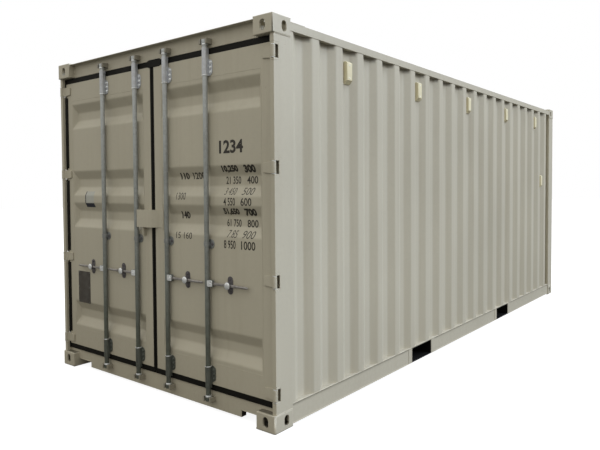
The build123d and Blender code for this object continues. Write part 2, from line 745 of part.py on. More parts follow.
def door_frame():
    """Welded tube frame of the right-hand leaf, with stiles open at their ends."""
    y_range = (LEAF_FACE, LEAF_BACK)
    wall = LEAF_TUBE_WALL
    y_hollow = (LEAF_FACE + wall, LEAF_BACK - wall)
    frame = block((LEAF_CENTRE, LEAF_EDGE), y_range, (LEAF_LOW, LEAF_HIGH))
    frame -= block((PANEL_LEFT, PANEL_RIGHT), y_range, (PANEL_LOW, PANEL_HIGH))
    for x_range in ((LEAF_CENTRE, PANEL_LEFT), (PANEL_RIGHT, LEAF_EDGE)):
        frame -= block((x_range[0] + wall, x_range[1] - wall), y_hollow, (LEAF_LOW, LEAF_HIGH))
    for z_range in ((LEAF_LOW, PANEL_LOW), (PANEL_HIGH, LEAF_HIGH)):
        frame -= block(
            (PANEL_LEFT - wall, PANEL_RIGHT + wall),
            y_hollow,
            (z_range[0] + wall, z_range[1] - wall),
        )
    return frame


def door_panel():
    """Sheet of the right-hand leaf, pressed in along four level pans with sloped ends."""
    panel = block((PANEL_LEFT, PANEL_RIGHT), (LEAF_FACE, LEAF_FACE + SHEET), (PANEL_LOW, PANEL_HIGH))
    width = PANEL_RIGHT - PANEL_LEFT - 2 * PRESSING_MARGIN
    middle = (PANEL_RIGHT + PANEL_LEFT) / 2
    slope_z = (PRESSING_HEIGHT - PRESSING_FLOOR) / 2
    size = (width, PRESSING_HEIGHT, PRESSING_END_SLOPE, slope_z, PRESSING_DEPTH)
    places = [Pos(middle, LEAF_FACE, height) * Rot(-90, 0, 0) for height in PRESSING_CENTRES]
    for place in places:
        panel += place * sheet_pan(*size, SHEET)
    for place in places:
        panel -= place * pan(*size)
    return panel


def door_gasket():
    """Rubber seal round the right-hand leaf: a base strap, two lips and a flange at the jamb."""
    outer_x = (SEAL_CENTRE_GAP / 2, JAMB_X - SEAL_SIDE_CLEARANCE)
    outer_z = (SILL_TOP + SEAL_CLEARANCE, HEADER_LOW - SEAL_CLEARANCE)
    front = LEAF_FACE + SHEET
    back = STOP_Y - SEAL_SIDE_CLEARANCE
    seal = block(outer_x, (front, back), outer_z)
    seal -= block((LEAF_CENTRE, LEAF_EDGE), (front, LEAF_BACK), (LEAF_LOW, LEAF_HIGH))
    seal -= block(
        (LEAF_CENTRE + SEAL_LIP, LEAF_EDGE - SEAL_LIP),
        (LEAF_BACK, back),
        (LEAF_LOW + SEAL_LIP, LEAF_HIGH - SEAL_LIP),
    )
    groove = block(outer_x, (front + SEAL_LIP, LEAF_BACK - SEAL_LIP), outer_z)
    groove -= block(
        (LEAF_CENTRE - SEAL_BASE, LEAF_EDGE + SEAL_BASE),
        (front, back),
        (LEAF_LOW - SEAL_BASE, LEAF_HIGH + SEAL_BASE),
    )
    flange_x = JAMB_X - SEAL_FLANGE_GAP
    reach_y = (front - SEAL_FLANGE_REACH, front)
    flange = block((flange_x - SEAL_FLANGE, flange_x), (reach_y[0], front + SEAL_LIP), outer_z)
    half = HINGE_NOTCH / 2
    for height in HINGE_HEIGHTS:
        flange -= block((LEAF_EDGE, JAMB_X), reach_y, (height - half, height + half))
    return seal - groove + flange


def bar_bracket(x, plate_z, strap_z):
    """Round-cornered plate on the leaf behind a lock bar, with a strap bent round the bar."""
    half = BRACKET_WIDTH / 2
    plate = block((x - half, x + half), (LEAF_FACE - BRACKET_PLATE, LEAF_FACE), plate_z)
    plate = fillet(plate.edges().filter_by(Axis.Y), BRACKET_ROUND)
    inner = BAR_RADIUS + BAR_CLEARANCE
    outer = inner + BRACKET_STRAP
    height = strap_z[1] - strap_z[0]
    middle = (strap_z[0] + strap_z[1]) / 2
    back = LEAF_FACE - BRACKET_PLATE
    strap = Pos(x, BAR_Y, middle) * Cylinder(outer, height)
    strap += block((x - outer, x + outer), (BAR_Y, back), strap_z)
    channel = Pos(x, BAR_Y, middle) * Cylinder(inner, height)
    channel += block((x - inner, x + inner), (BAR_Y, back), strap_z)
    return plate + (strap - channel)


def bar_brackets():
    """Brackets of both lock bars of the right-hand leaf: at its foot, at mid height and at its head."""
    low = LEAF_LOW + BRACKET_LOW_MARGIN
    high = LEAF_HIGH - BRACKET_HIGH_MARGIN
    foot = (low, low + BRACKET_HEIGHT)
    head = (high - BRACKET_HEIGHT, high)
    middle = MID_BRACKET_CENTRE
    guide = (middle - MID_BRACKET_HEIGHT / 2, middle + MID_BRACKET_HEIGHT / 2)
    band = (middle - MID_STRAP_HEIGHT / 2, middle + MID_STRAP_HEIGHT / 2)
    rows = (
        (foot, (LEAF_LOW - SLEEVE_OVERHANG_LOW, foot[1])),
        (guide, band),
        (head, (head[0], LEAF_HIGH + SLEEVE_OVERHANG_HIGH)),
    )
    return [bar_bracket(x, plate_z, strap_z) for x in BAR_PLACES for plate_z, strap_z in rows]


def lock_bar(x):
    """Tube with a cam at each end and a forked hub for its handle, on the right-hand leaf."""
    z_low = BOTTOM_CAM - CAM_HEIGHT / 2
    z_high = TOP_CAM + CAM_HEIGHT / 2
    length = z_high - z_low
    middle = (z_low + z_high) / 2
    bar = Pos(x, BAR_Y, middle) * Cylinder(BAR_RADIUS, length)
    for height in (BOTTOM_CAM, TOP_CAM):
        bar += Pos(x, BAR_Y, height) * Cylinder(CAM_COLLAR, CAM_HEIGHT)
        horns = Box(2 * CAM_REACH, CAM_THICKNESS, CAM_HEIGHT)
        horns &= Cylinder(CAM_REACH, CAM_HEIGHT)
        bar += Pos(x, BAR_Y, height) * horns
    slot = HANDLE_THICKNESS / 2 + HANDLE_CLEARANCE
    plate_y = slot + HUB_PLATE
    reach = HANDLE_PIVOT + HANDLE_EYE_RADIUS
    z_range = (HANDLE_HEIGHT - HUB_HEIGHT / 2, HANDLE_HEIGHT + HUB_HEIGHT / 2)
    for side in (-1, 1):
        y_near = BAR_Y + side * slot
        y_far = BAR_Y + side * plate_y
        bar += block((x, x + reach), (min(y_near, y_far), max(y_near, y_far)), z_range)
    bore = Pos(x, BAR_Y, middle) * Cylinder(BAR_RADIUS - BAR_WALL, length)
    pin_place = Pos(x + HANDLE_PIVOT, BAR_Y, HANDLE_HEIGHT) * Rot(90, 0, 0)
    return bar - bore + pin_place * Cylinder(HANDLE_PIN_RADIUS, 2 * plate_y)


def handle(x):
    """Flat bar with an eye on the hub's pin, and a rounded grip at its far end."""
    tip = x + HANDLE_LENGTH
    pivot = x + HANDLE_PIVOT
    half = HANDLE_BLADE / 2
    plane = Plane.XZ.offset(-(BAR_Y + HANDLE_THICKNESS / 2))
    blade = block(
        (pivot, tip),
        (BAR_Y - HANDLE_THICKNESS / 2, BAR_Y + HANDLE_THICKNESS / 2),
        (HANDLE_HEIGHT - half, HANDLE_HEIGHT + half),
    )
    eye = extrude(plane * Pos(pivot, HANDLE_HEIGHT) * Circle(HANDLE_EYE_RADIUS), amount=HANDLE_THICKNESS)
    grip = Pos(tip - HANDLE_GRIP / 2, BAR_Y, HANDLE_HEIGHT) * Rot(0, 90, 0) * Cylinder(half, HANDLE_GRIP)
    hole_radius = HANDLE_PIN_RADIUS + HINGE_PIN_CLEARANCE
    hole = extrude(plane * Pos(pivot, HANDLE_HEIGHT) * Circle(hole_radius), amount=HANDLE_THICKNESS)
    return blade + eye + grip - hole


def handle_catch(x):
    """Oval plate with a ledge under the handle, which ends in a round head in front of it."""
    middle = x + CATCH_PLACE
    plate_front = LEAF_FACE - CATCH_PLATE
    oval = Pos(middle, HANDLE_HEIGHT) * SlotOverall(CATCH_HEIGHT, CATCH_WIDTH, rotation=90)
    plate = extrude(Plane.XZ.offset(-LEAF_FACE) * oval, amount=CATCH_PLATE)
    ledge_top = HANDLE_HEIGHT - HANDLE_BLADE / 2 - CATCH_GAP
    ledge_z = (ledge_top - CATCH_PLATE, ledge_top)
    head_back = BAR_Y - HANDLE_THICKNESS / 2 - CATCH_GAP
    half = CATCH_LEDGE / 2
    ledge = block((middle - half, middle + half), (head_back, plate_front), ledge_z)
    head_plane = Plane.XZ.offset(-head_back) * Pos(middle, HANDLE_HEIGHT)
    head = extrude(head_plane * Circle(CATCH_HEAD_RADIUS), amount=CATCH_PLATE)
    return plate + ledge + head


def lock_cover():
    """Bent plate cover for a padlock, fixed to the right-hand leaf and open below."""
    front = -(LENGTH / 2 - COVER_FRONT_INSET)
    wall = COVER_WALL
    flange_front = LEAF_FACE - wall
    slope = flange_front - front
    skin = [
        (COVER_FLANGE_END, LEAF_FACE),
        (COVER_FLANGE_END, flange_front),
        (COVER_RIGHT + slope, flange_front),
        (COVER_RIGHT, front),
        (-COVER_LEFT, front),
        (-COVER_LEFT, flange_front),
        (-COVER_LEFT + wall, flange_front),
        (-COVER_LEFT + wall, front + wall),
        (COVER_RIGHT - wall / 2, front + wall),
        (COVER_RIGHT + slope - wall / 2, LEAF_FACE),
    ]
    cover = upright(skin, COVER_LOW, COVER_HIGH)
    lid = [
        (COVER_RIGHT + slope / 2, flange_front),
        (COVER_RIGHT, front + wall),
        (-COVER_LID_END, front + wall),
        (-COVER_LID_END, flange_front),
    ]
    return cover + upright(lid, COVER_HIGH - wall, COVER_HIGH)


def lock_lug():
    """Drilled lug that stands out from the left-hand leaf in and below the padlock cover."""
    middle = (COVER_LOW + COVER_HIGH) / 2
    back = LEAF_FACE
    front = back - LUG_REACH
    x_range = (-LUG_PLACE, -LUG_PLACE + LUG_THICKNESS)
    lug = block(x_range, (front, back), (COVER_LOW - LUG_OVERHANG, middle + LUG_RISE))
    hole = Pos(-LUG_PLACE + LUG_THICKNESS / 2, (front + back) / 2, middle) * Rot(0, 90, 0)
    return lug - hole * Cylinder(LUG_HOLE_RADIUS, LUG_THICKNESS)


def write_leaf(piece_name, pieces):
    """Write the right-hand leaf's pieces, and their mirror image for the left-hand leaf."""
    write(f"{piece_name}_right", pieces)
    write(f"{piece_name}_left", [mirror(piece, about=Plane.YZ) for piece in pieces])


def main():
    os.makedirs("parts", exist_ok=True)
    write("bottom_corner_castings", four_corners(bottom_casting(CASTING_FOOT_ROUND)))
    write("top_corner_castings", four_corners(top_casting()))
    write("rear_posts", both_sides(rear_post()))
    write("front_posts", both_sides(front_post()))
    write("door_header", [door_header()])
    write("door_sill", [door_sill()])
    write("front_top_rail", [front_top_rail()])
    write("front_bottom_rail", [front_bottom_rail()])
    write("top_side_rails", both_sides(top_side_rail()))
    write("bottom_side_rails", both_sides(bottom_side_rail()))
    write("side_wall_right", [side_wall()])
    write("side_wall_left", [mirror(side_wall(), about=Plane.YZ)])
    write("front_wall", [front_wall()])
    write("roof_panel", [roof_panel()])
    write("roof_corner_plates", four_corners(roof_corner_plate()))
    write("floor_boards", floor_boards())
    write("floor_centre_rail", [floor_centre_rail()])
    write("cross_members", cross_members())
    write("fork_pockets", [fork_pocket(-FORK_SPACING / 2), fork_pocket(FORK_SPACING / 2)])
    write("ventilators", ventilators())
    write("cam_keepers", cam_keepers())
    write("hinge_pins", [copy for height in HINGE_HEIGHTS for copy in both_sides(hinge_pin(height))])
    write_leaf("door_frame", [door_frame()])
    write_leaf("door_panel", [door_panel()])
    write_leaf("door_gasket", [door_gasket()])
    write_leaf("hinge_blades", [hinge_blade(height) for height in HINGE_HEIGHTS])
    write_leaf("bar_brackets", bar_brackets())
    write_leaf("handle_catches", [handle_catch(x) for x in BAR_PLACES])
    write("lock_cover", [lock_cover()])
    write("lock_lug", [lock_lug()])
    for name, x in zip(("inner", "outer"), BAR_PLACES):
        write_leaf(f"{name}_lock_bar", [lock_bar(x)])
        write_leaf(f"{name}_handle", [handle(x)])


main()
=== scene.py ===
import math
from contextlib import contextmanager

import bmesh
import bpy
import numpy as np
from mathutils import Matrix, Vector


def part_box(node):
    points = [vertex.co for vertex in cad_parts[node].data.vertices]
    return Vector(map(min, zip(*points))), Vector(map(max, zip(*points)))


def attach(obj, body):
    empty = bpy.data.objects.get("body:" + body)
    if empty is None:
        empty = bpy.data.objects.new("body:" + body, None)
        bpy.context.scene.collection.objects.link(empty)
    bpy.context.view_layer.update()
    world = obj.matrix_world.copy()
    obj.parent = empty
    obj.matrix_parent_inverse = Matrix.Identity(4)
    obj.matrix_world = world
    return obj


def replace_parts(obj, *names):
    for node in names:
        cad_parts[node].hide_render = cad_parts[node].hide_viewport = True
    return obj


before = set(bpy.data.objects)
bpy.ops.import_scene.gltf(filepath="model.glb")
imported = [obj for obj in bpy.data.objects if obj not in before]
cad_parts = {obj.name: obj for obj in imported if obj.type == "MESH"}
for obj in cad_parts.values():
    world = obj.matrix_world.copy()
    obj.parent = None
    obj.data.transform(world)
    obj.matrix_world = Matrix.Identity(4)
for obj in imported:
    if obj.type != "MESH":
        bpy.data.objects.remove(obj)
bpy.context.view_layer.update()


def edges(node):
    """Box of a CAD node: its (low, high) along X, Y and Z, in metres."""
    return [(round(low, 4), round(high, 4)) for low, high in zip(*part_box(node))]


# Camera, fitted to the corners of the container
CAMERA_PLACE = Vector((3.5361, -5.7145, 1.5332))
CAMERA_YAW = -0.6727
CAMERA_PITCH = -0.0326
CAMERA_ROLL = -0.0065
FOCAL_PIXELS = 582.97
SENSOR = 36.0
PICTURE_WIDTH = 600
SHIFT_PIXELS = (3.55, -18.98)

# Places on the frame, in metres
(_, HALF_WIDTH), (_, HALF_LENGTH), _ = edges("top_corner_castings")
(_, CASTING_X), _, HEADER_Z = edges("door_header")
(_, WALL_X), (_, CASTING_Y), WALL_Z = edges("side_wall_right")
(_, FRAME_X), (POST_FACE, _), POST_Z = edges("rear_posts")
_, (_, FRAME_Y), _ = edges("front_posts")
_, (_, WALL_Y), _ = edges("front_wall")
_, (END_FACE, _), _ = edges("door_sill")
_, _, (_, ROOF_Z) = edges("roof_panel")
_, _, (_, FLOOR_TOP) = edges("floor_boards")
(_, RAIL_X), _, RAIL_Z = edges("bottom_side_rails")
_, (_, FORK_END), _ = edges("fork_pockets")
(_, VENT_FRONT), _, _ = edges("ventilators")
_, (LEAF_FACE, _), LEAF_Z = edges("door_frame_right")
(_, SEAL_EDGE), _, _ = edges("door_gasket_right")
PANEL_X, _, PANEL_Z = edges("door_panel_right")
BAR_Y = sum(edges("inner_lock_bar_right")[1]) / 2
HANDLE_Z = sum(edges("inner_handle_right")[2]) / 2
FORK_Y = 1.025
FORK_HALF = FORK_END - FORK_Y
BARS = {"inner": 0.178, "outer": 0.600}
BRACKET_ROWS = {"foot": 0.260, "head": 2.340}
GUIDE_Z = 1.150
CATCH_PLACE = 0.200
HINGE = (1.203, -3.007)
HINGE_HEIGHTS = (0.239, 0.947, 1.655, 2.363)
SIDES = {"right": 1, "left": -1}
AHEAD = (0.0, -1.0, 0.0)
SKYWARD = (0.0, 0.0, 1.0)

# Bodies with the paint slots of their pieces
FRAME_STEEL = ("container_frame", "frame_paint")
FRAME_SHEET = ("container_frame", "wall_paint")
FRAME_ZINC = ("container_frame", "galvanised_steel")

# Sheets, in metres
SHEET = 0.002
PAN_HEIGHTS = (0.468, 1.310, 1.577, 2.141)
PAN_HALF = 0.102
PAN_SLOPE = 0.068
PAN_END_SLOPE = 0.032
PAN_DEPTH = 0.036
PAN_MARGIN = 0.006
SIDE_WAVE = dict(first_flat=0.028, pitch=0.277, outer_flat=0.072, inner_flat=0.070, depth=0.036,
                 length=2 * CASTING_Y, count=21)
FRONT_WAVE = dict(first_flat=0.112, pitch=0.250, outer_flat=0.110, inner_flat=0.104, depth=0.045,
                  length=2 * CASTING_X, count=8)
TROUGHS = np.linspace(-CASTING_Y + 0.106, CASTING_Y - 0.106, 27)
TROUGH_HALF = 0.045
TROUGH_SLOPE = 0.020
TROUGH_DEPTH = 0.020
TROUGH_END = FRAME_X - 0.095

# Colours, linear
PAINT = (0.480, 0.444, 0.352)
DUST = (0.36, 0.31, 0.22)
RUST = (0.16, 0.055, 0.022)
BITUMEN = (0.016, 0.015, 0.014)
INK = (0.020, 0.016, 0.012)
# Painted shadow under the top rail and under the bottom rail's lip
RAIL_SHADOW_COLOUR = (0.105, 0.095, 0.070)
# Painted shade deep inside the corner castings
HOLLOW_SHADE_COLOUR = (0.030, 0.026, 0.018)
ZINC_BLOOM = (0.62, 0.62, 0.60)
HAND_GRIME = (0.075, 0.065, 0.05)
# Painted shade, with some grime, towards the foot of the zinc parts
FOOT_SHADE_COLOUR = (0.25, 0.26, 0.215)
RUBBER = (0.0065, 0.006, 0.0045)
RUBBER_DUST = (0.10, 0.09, 0.07)
LIGHT_WOOD = (0.30, 0.15, 0.07)
DARK_WOOD = (0.12, 0.05, 0.022)
SCUFFED_WOOD = (0.20, 0.16, 0.12)


# Shader trees

def rgba(colour):
    return (*colour, 1.0)


class Graph:
    """Places and joins the nodes of one shader tree."""

    def __init__(self, tree):
        self.tree = tree

    def add(self, kind, inputs=None, **settings):
        """New node with its settings; each input is a value or the socket that feeds it."""
        node = self.tree.nodes.new(kind)
        for key, value in settings.items():
            setattr(node, key, value)
        for key, value in (inputs or {}).items():
            self.feed(node.inputs[key], value)
        return node

    def feed(self, socket, value):
        if isinstance(value, bpy.types.NodeSocket):
            self.tree.links.new(value, socket)
        else:
            socket.default_value = value

    def noise(self, position, scale, detail=2.0, roughness=0.5):
        node = self.add("ShaderNodeTexNoise", {"Vector": position, "Scale": scale, "Detail": detail,
                                               "Roughness": roughness})
        return node.outputs["Fac"]

    def stretch(self, position, scale):
        return self.add("ShaderNodeMapping", {"Vector": position, "Scale": scale}).outputs["Vector"]

    def remap(self, value, low, high, to_low=0.0, to_high=1.0):
        node = self.add("ShaderNodeMapRange", {"Value": value, "From Min": low, "From Max": high,
                                               "To Min": to_low, "To Max": to_high})
        return node.outputs["Result"]

    def calc(self, operation, first, second=0.0):
        return self.add("ShaderNodeMath", {0: first, 1: second}, operation=operation).outputs[0]

    def times(self, first, second):
        return self.calc("MULTIPLY", first, second)

    def mix(self, factor, first, second, blend="MIX"):
        node = self.add("ShaderNodeMix", data_type="RGBA", blend_type=blend)
        for place, value in ((0, factor), (6, first), (7, second)):
            self.feed(node.inputs[place], value)
        return node.outputs[2]

    def dim(self, colour, level):
        """Colour times a grey level."""
        grey = self.add("ShaderNodeCombineColor", {"Red": level, "Green": level, "Blue": level})
        return self.mix(1.0, colour, grey.outputs[0], "MULTIPLY")

    def close(self, lit, seen, output):
        """Ends the tree with one shader for the light and another for the eye."""
        ray = self.add("ShaderNodeLightPath").outputs["Is Camera Ray"]
        both = self.add("ShaderNodeMixShader", {0: ray, 1: lit.outputs[0], 2: seen.outputs[0]})
        self.add(output, {"Surface": both.outputs[0]})


def shader_group(name, skin, inputs):
    """Node group that takes a position and its own inputs; skin gives its colour, roughness and height."""
    tree = bpy.data.node_groups.new(name, "ShaderNodeTree")
    tree.interface.new_socket(name="Position", in_out="INPUT", socket_type="NodeSocketVector")
    for socket, value in inputs.items():
        kind = "Float" if isinstance(value, float) else "Color"
        item = tree.interface.new_socket(name=socket, in_out="INPUT", socket_type=f"NodeSocket{kind}")
        item.default_value = value
    for socket, kind in (("Color", "Color"), ("Roughness", "Float"), ("Height", "Float")):
        tree.interface.new_socket(name=socket, in_out="OUTPUT", socket_type=f"NodeSocket{kind}")
    graph = Graph(tree)
    values = skin(graph, graph.add("NodeGroupInput").outputs)
    graph.add("NodeGroupOutput", dict(zip(("Color", "Roughness", "Height"), values)))
    return tree


def paint_skin(g, given):
    """Container paint: faded patches, rain streaks, dust near the ground, small rust chips, painted shade
    under the rails and in the castings.
    """
    position = given["Position"]
    broad = g.noise(position, 0.8, 3.0)
    fine = g.noise(position, 38.0, 4.0, 0.6)
    patch = g.times(g.remap(broad, 0.3, 0.7, -1.0, 1.0), given["Fade"])
    colour = g.dim(given["Paint"], g.calc("ADD", g.remap(fine, 0.2, 0.8, 0.97, 1.03), patch))
    run = g.noise(g.stretch(position, (13.0, 13.0, 0.45)), 1.0, 5.0, 0.62)
    runs = g.times(g.remap(run, 0.52, 0.72), given["Streaks"])
    colour = g.mix(runs, colour, g.mix(0.75, colour, given["Dust Colour"]))
    axes = g.add("ShaderNodeSeparateXYZ", {"Vector": position}).outputs
    height = axes["Z"]
    from_middle = g.calc("ABSOLUTE", axes["X"])
    from_end = g.calc("ABSOLUTE", axes["Y"])
    # Painted shadow: darker in the recesses just under the top rail, and in a band under the wall's foot
    # where the bottom rail's lip overhangs.
    under_head = g.times(g.remap(height, WALL_Z[1] - 0.039, WALL_Z[1] - 0.017),
                         g.remap(from_middle, WALL_X - 0.004, WALL_X - 0.013))
    under_foot = g.times(g.remap(height, WALL_Z[0] - 0.024, WALL_Z[0] - 0.007),
                         g.remap(height, WALL_Z[0] + 0.002, WALL_Z[0] - 0.003))
    corner = g.times(g.calc("MAXIMUM", under_head, under_foot), given["Corner Dirt"])
    colour = g.mix(corner, colour, rgba(RAIL_SHADOW_COLOUR))
    # Painted shade: near black deep inside the castings, away from their outer faces.
    hollow = g.times(g.remap(from_end, HALF_LENGTH - 0.008, HALF_LENGTH - 0.017),
                     g.remap(from_middle, HALF_WIDTH - 0.008, HALF_WIDTH - 0.017))
    hollow = g.times(hollow, g.remap(from_middle, CASTING_X + 0.003, CASTING_X + 0.009))
    colour = g.mix(g.times(hollow, given["Hollow Dirt"]), colour, rgba(HOLLOW_SHADE_COLOUR))
    low = g.remap(g.calc("ADD", height, g.remap(broad, 0.2, 0.8, -0.15, 0.15)), 0.75, 0.0)
    splash = g.times(g.times(low, g.remap(fine, 0.25, 0.75)), given["Dust"])
    colour = g.mix(splash, colour, given["Dust Colour"])
    speck = g.noise(position, 95.0, 2.0, 0.5)
    where = g.remap(g.noise(position, 5.0, 3.0), 0.56, 0.70)
    chip = g.times(g.times(g.remap(speck, 0.70, 0.74), where), given["Chips"])
    colour = g.mix(chip, colour, given["Rust Colour"])
    rough = g.calc("ADD", g.remap(fine, 0.2, 0.8, 0.36, 0.50), g.times(splash, 0.35))
    dents = g.calc("ADD", g.times(g.noise(position, 3.2, 2.0), 2.2), g.times(fine, 0.10))
    return colour, g.calc("ADD", rough, g.times(chip, 0.3)), g.calc("SUBTRACT", dents, g.times(chip, 0.25))


def zinc_skin(g, given):
    """Zinc coating: crystals of several greys, white bloom, handling marks, painted shade with some grime
    towards the foot.
    """
    position = given["Position"]
    cells = g.add("ShaderNodeTexVoronoi", {"Vector": position, "Scale": given["Crystals"]})
    grey = g.add("ShaderNodeSeparateColor", {"Color": cells.outputs["Color"]}).outputs[0]
    colour = g.dim(given["Metal"], g.remap(grey, 0.0, 1.0, 0.90, 1.10))
    cloud = g.noise(position, 9.0, 4.0, 0.6)
    bloom = g.times(g.remap(cloud, 0.48, 0.72), given["Bloom"])
    colour = g.mix(bloom, colour, rgba(ZINC_BLOOM))
    smear = g.noise(g.stretch(position, (30.0, 30.0, 3.0)), 1.0, 4.0, 0.6)
    colour = g.mix(g.times(g.remap(smear, 0.5, 0.75), given["Grime"]), colour, rgba(HAND_GRIME))
    height = g.add("ShaderNodeSeparateXYZ", {"Vector": position}).outputs["Z"]
    # Painted shade, with some grime: darker towards the foot.
    worn = g.times(g.remap(height, 2.35, 0.45), given["Foot Shade"])
    colour = g.mix(worn, colour, g.mix(1.0, colour, rgba(FOOT_SHADE_COLOUR), "MULTIPLY"))
    rough = g.calc("ADD", g.remap(grey, 0.0, 1.0, 0.34, 0.50), g.times(bloom, 0.3))
    return colour, rough, g.times(cloud, 0.3)


def rubber_skin(g, given):
    """Door rubber: nearly black, greyer where it is dusty, with a fine moulded skin."""
    cloud = g.noise(given["Position"], 7.0, 4.0, 0.6)
    pores = g.noise(given["Position"], 260.0, 2.0)
    dusty = g.times(g.remap(cloud, 0.45, 0.8), given["Dust"])
    colour = g.mix(dusty, rgba(RUBBER), rgba(RUBBER_DUST))
    return colour, g.remap(cloud, 0.2, 0.8, 0.5, 0.75), g.times(pores, 0.12)


def plywood_skin(g, given):
    """Floor plywood: long grain along Y, darker growth lines, and scuffs worn across it."""
    grain = g.noise(g.stretch(given["Position"], (22.0, 1.1, 22.0)), 1.0, 6.0, 0.65)
    fibre = g.noise(g.stretch(given["Position"], (260.0, 9.0, 260.0)), 1.0, 3.0)
    colour = g.mix(g.remap(grain, 0.35, 0.65), given["Dark"], given["Light"])
    colour = g.mix(g.remap(fibre, 0.4, 0.8, 0.0, 0.35), colour, given["Dark"])
    scuff = g.noise(g.stretch(given["Position"], (3.0, 1.3, 3.0)), 1.0, 6.0, 0.7)
    worn = g.times(g.remap(scuff, 0.52, 0.70), given["Scuffs"])
    rough = g.calc("ADD", g.remap(fibre, 0.2, 0.8, 0.42, 0.58), g.times(worn, 0.3))
    return g.mix(worn, colour, rgba(SCUFFED_WOOD)), rough, g.times(fibre, 0.3)


GROUPS = {
    "paint": shader_group("weathered_paint", paint_skin, {
        "Paint": rgba(PAINT), "Dust Colour": rgba(DUST), "Rust Colour": rgba(RUST), "Fade": 0.1,
        "Streaks": 0.2, "Dust": 0.3, "Chips": 0.3, "Corner Dirt": 0.0, "Hollow Dirt": 0.0}),
    "zinc": shader_group("zinc_coating", zinc_skin, {
        "Metal": rgba((0.5, 0.5, 0.5)), "Crystals": 60.0, "Bloom": 0.3, "Grime": 0.3, "Foot Shade": 0.0}),
    "rubber": shader_group("dusty_rubber", rubber_skin, {"Dust": 0.2}),
    "plywood": shader_group("plywood_grain", plywood_skin, {
        "Light": rgba(LIGHT_WOOD), "Dark": rgba(DARK_WOOD), "Scuffs": 0.4}),
}
RELIEF = 0.001


def finish_material(name, group, values, bump, **shader):
    """Material whose colour, roughness and bump come from one shared group."""
    material = bpy.data.materials.new(name)
    material.use_nodes = True
    g = Graph(material.node_tree)
    skin = material.node_tree.nodes["Principled BSDF"]
    for socket, value in shader.items():
        skin.inputs[socket.replace("_", " ")].default_value = value
    coat = g.add("ShaderNodeGroup", node_tree=GROUPS[group])
    g.feed(coat.inputs["Position"], g.add("ShaderNodeTexCoord").outputs["Object"])
    for socket, value in values.items():
        coat.inputs[socket].default_value = value
    relief = g.add("ShaderNodeBump", {"Strength": bump, "Distance": RELIEF, "Height": coat.outputs["Height"]})
    g.feed(skin.inputs["Base Color"], coat.outputs["Color"])
    g.feed(skin.inputs["Roughness"], coat.outputs["Roughness"])
    g.feed(skin.inputs["Normal"], relief.outputs["Normal"])
    return material


def painted(name, colour=PAINT, fade=0.05, streaks=0.3, dust=0.2, chips=0.0, rail_shadow=0.0,
            hollow_shade=0.0, dust_colour=DUST, bump=0.5, **shader):
    """Paint, tar, ink or plastic, weathered and given painted shade by shares from 0 to 1."""
    coat = {"Paint": rgba(colour), "Dust Colour": rgba(dust_colour), "Fade": fade, "Streaks": streaks,
            "Dust": dust, "Chips": chips, "Corner Dirt": rail_shadow, "Hollow Dirt": hollow_shade}
    return finish_material(name, "paint", coat, bump, **shader)


def zinced(name, metal, crystals=70.0, bloom=0.1, grime=0.4, metallic=0.5, foot_shade=0.0):
    """Galvanised steel, with a share of painted shade and grime towards the foot."""
    coat = {"Metal": rgba(metal), "Crystals": crystals, "Bloom": bloom, "Grime": grime, "Foot Shade": foot_shade}
    return finish_material(name, "zinc", coat, 0.4, Metallic=metallic)


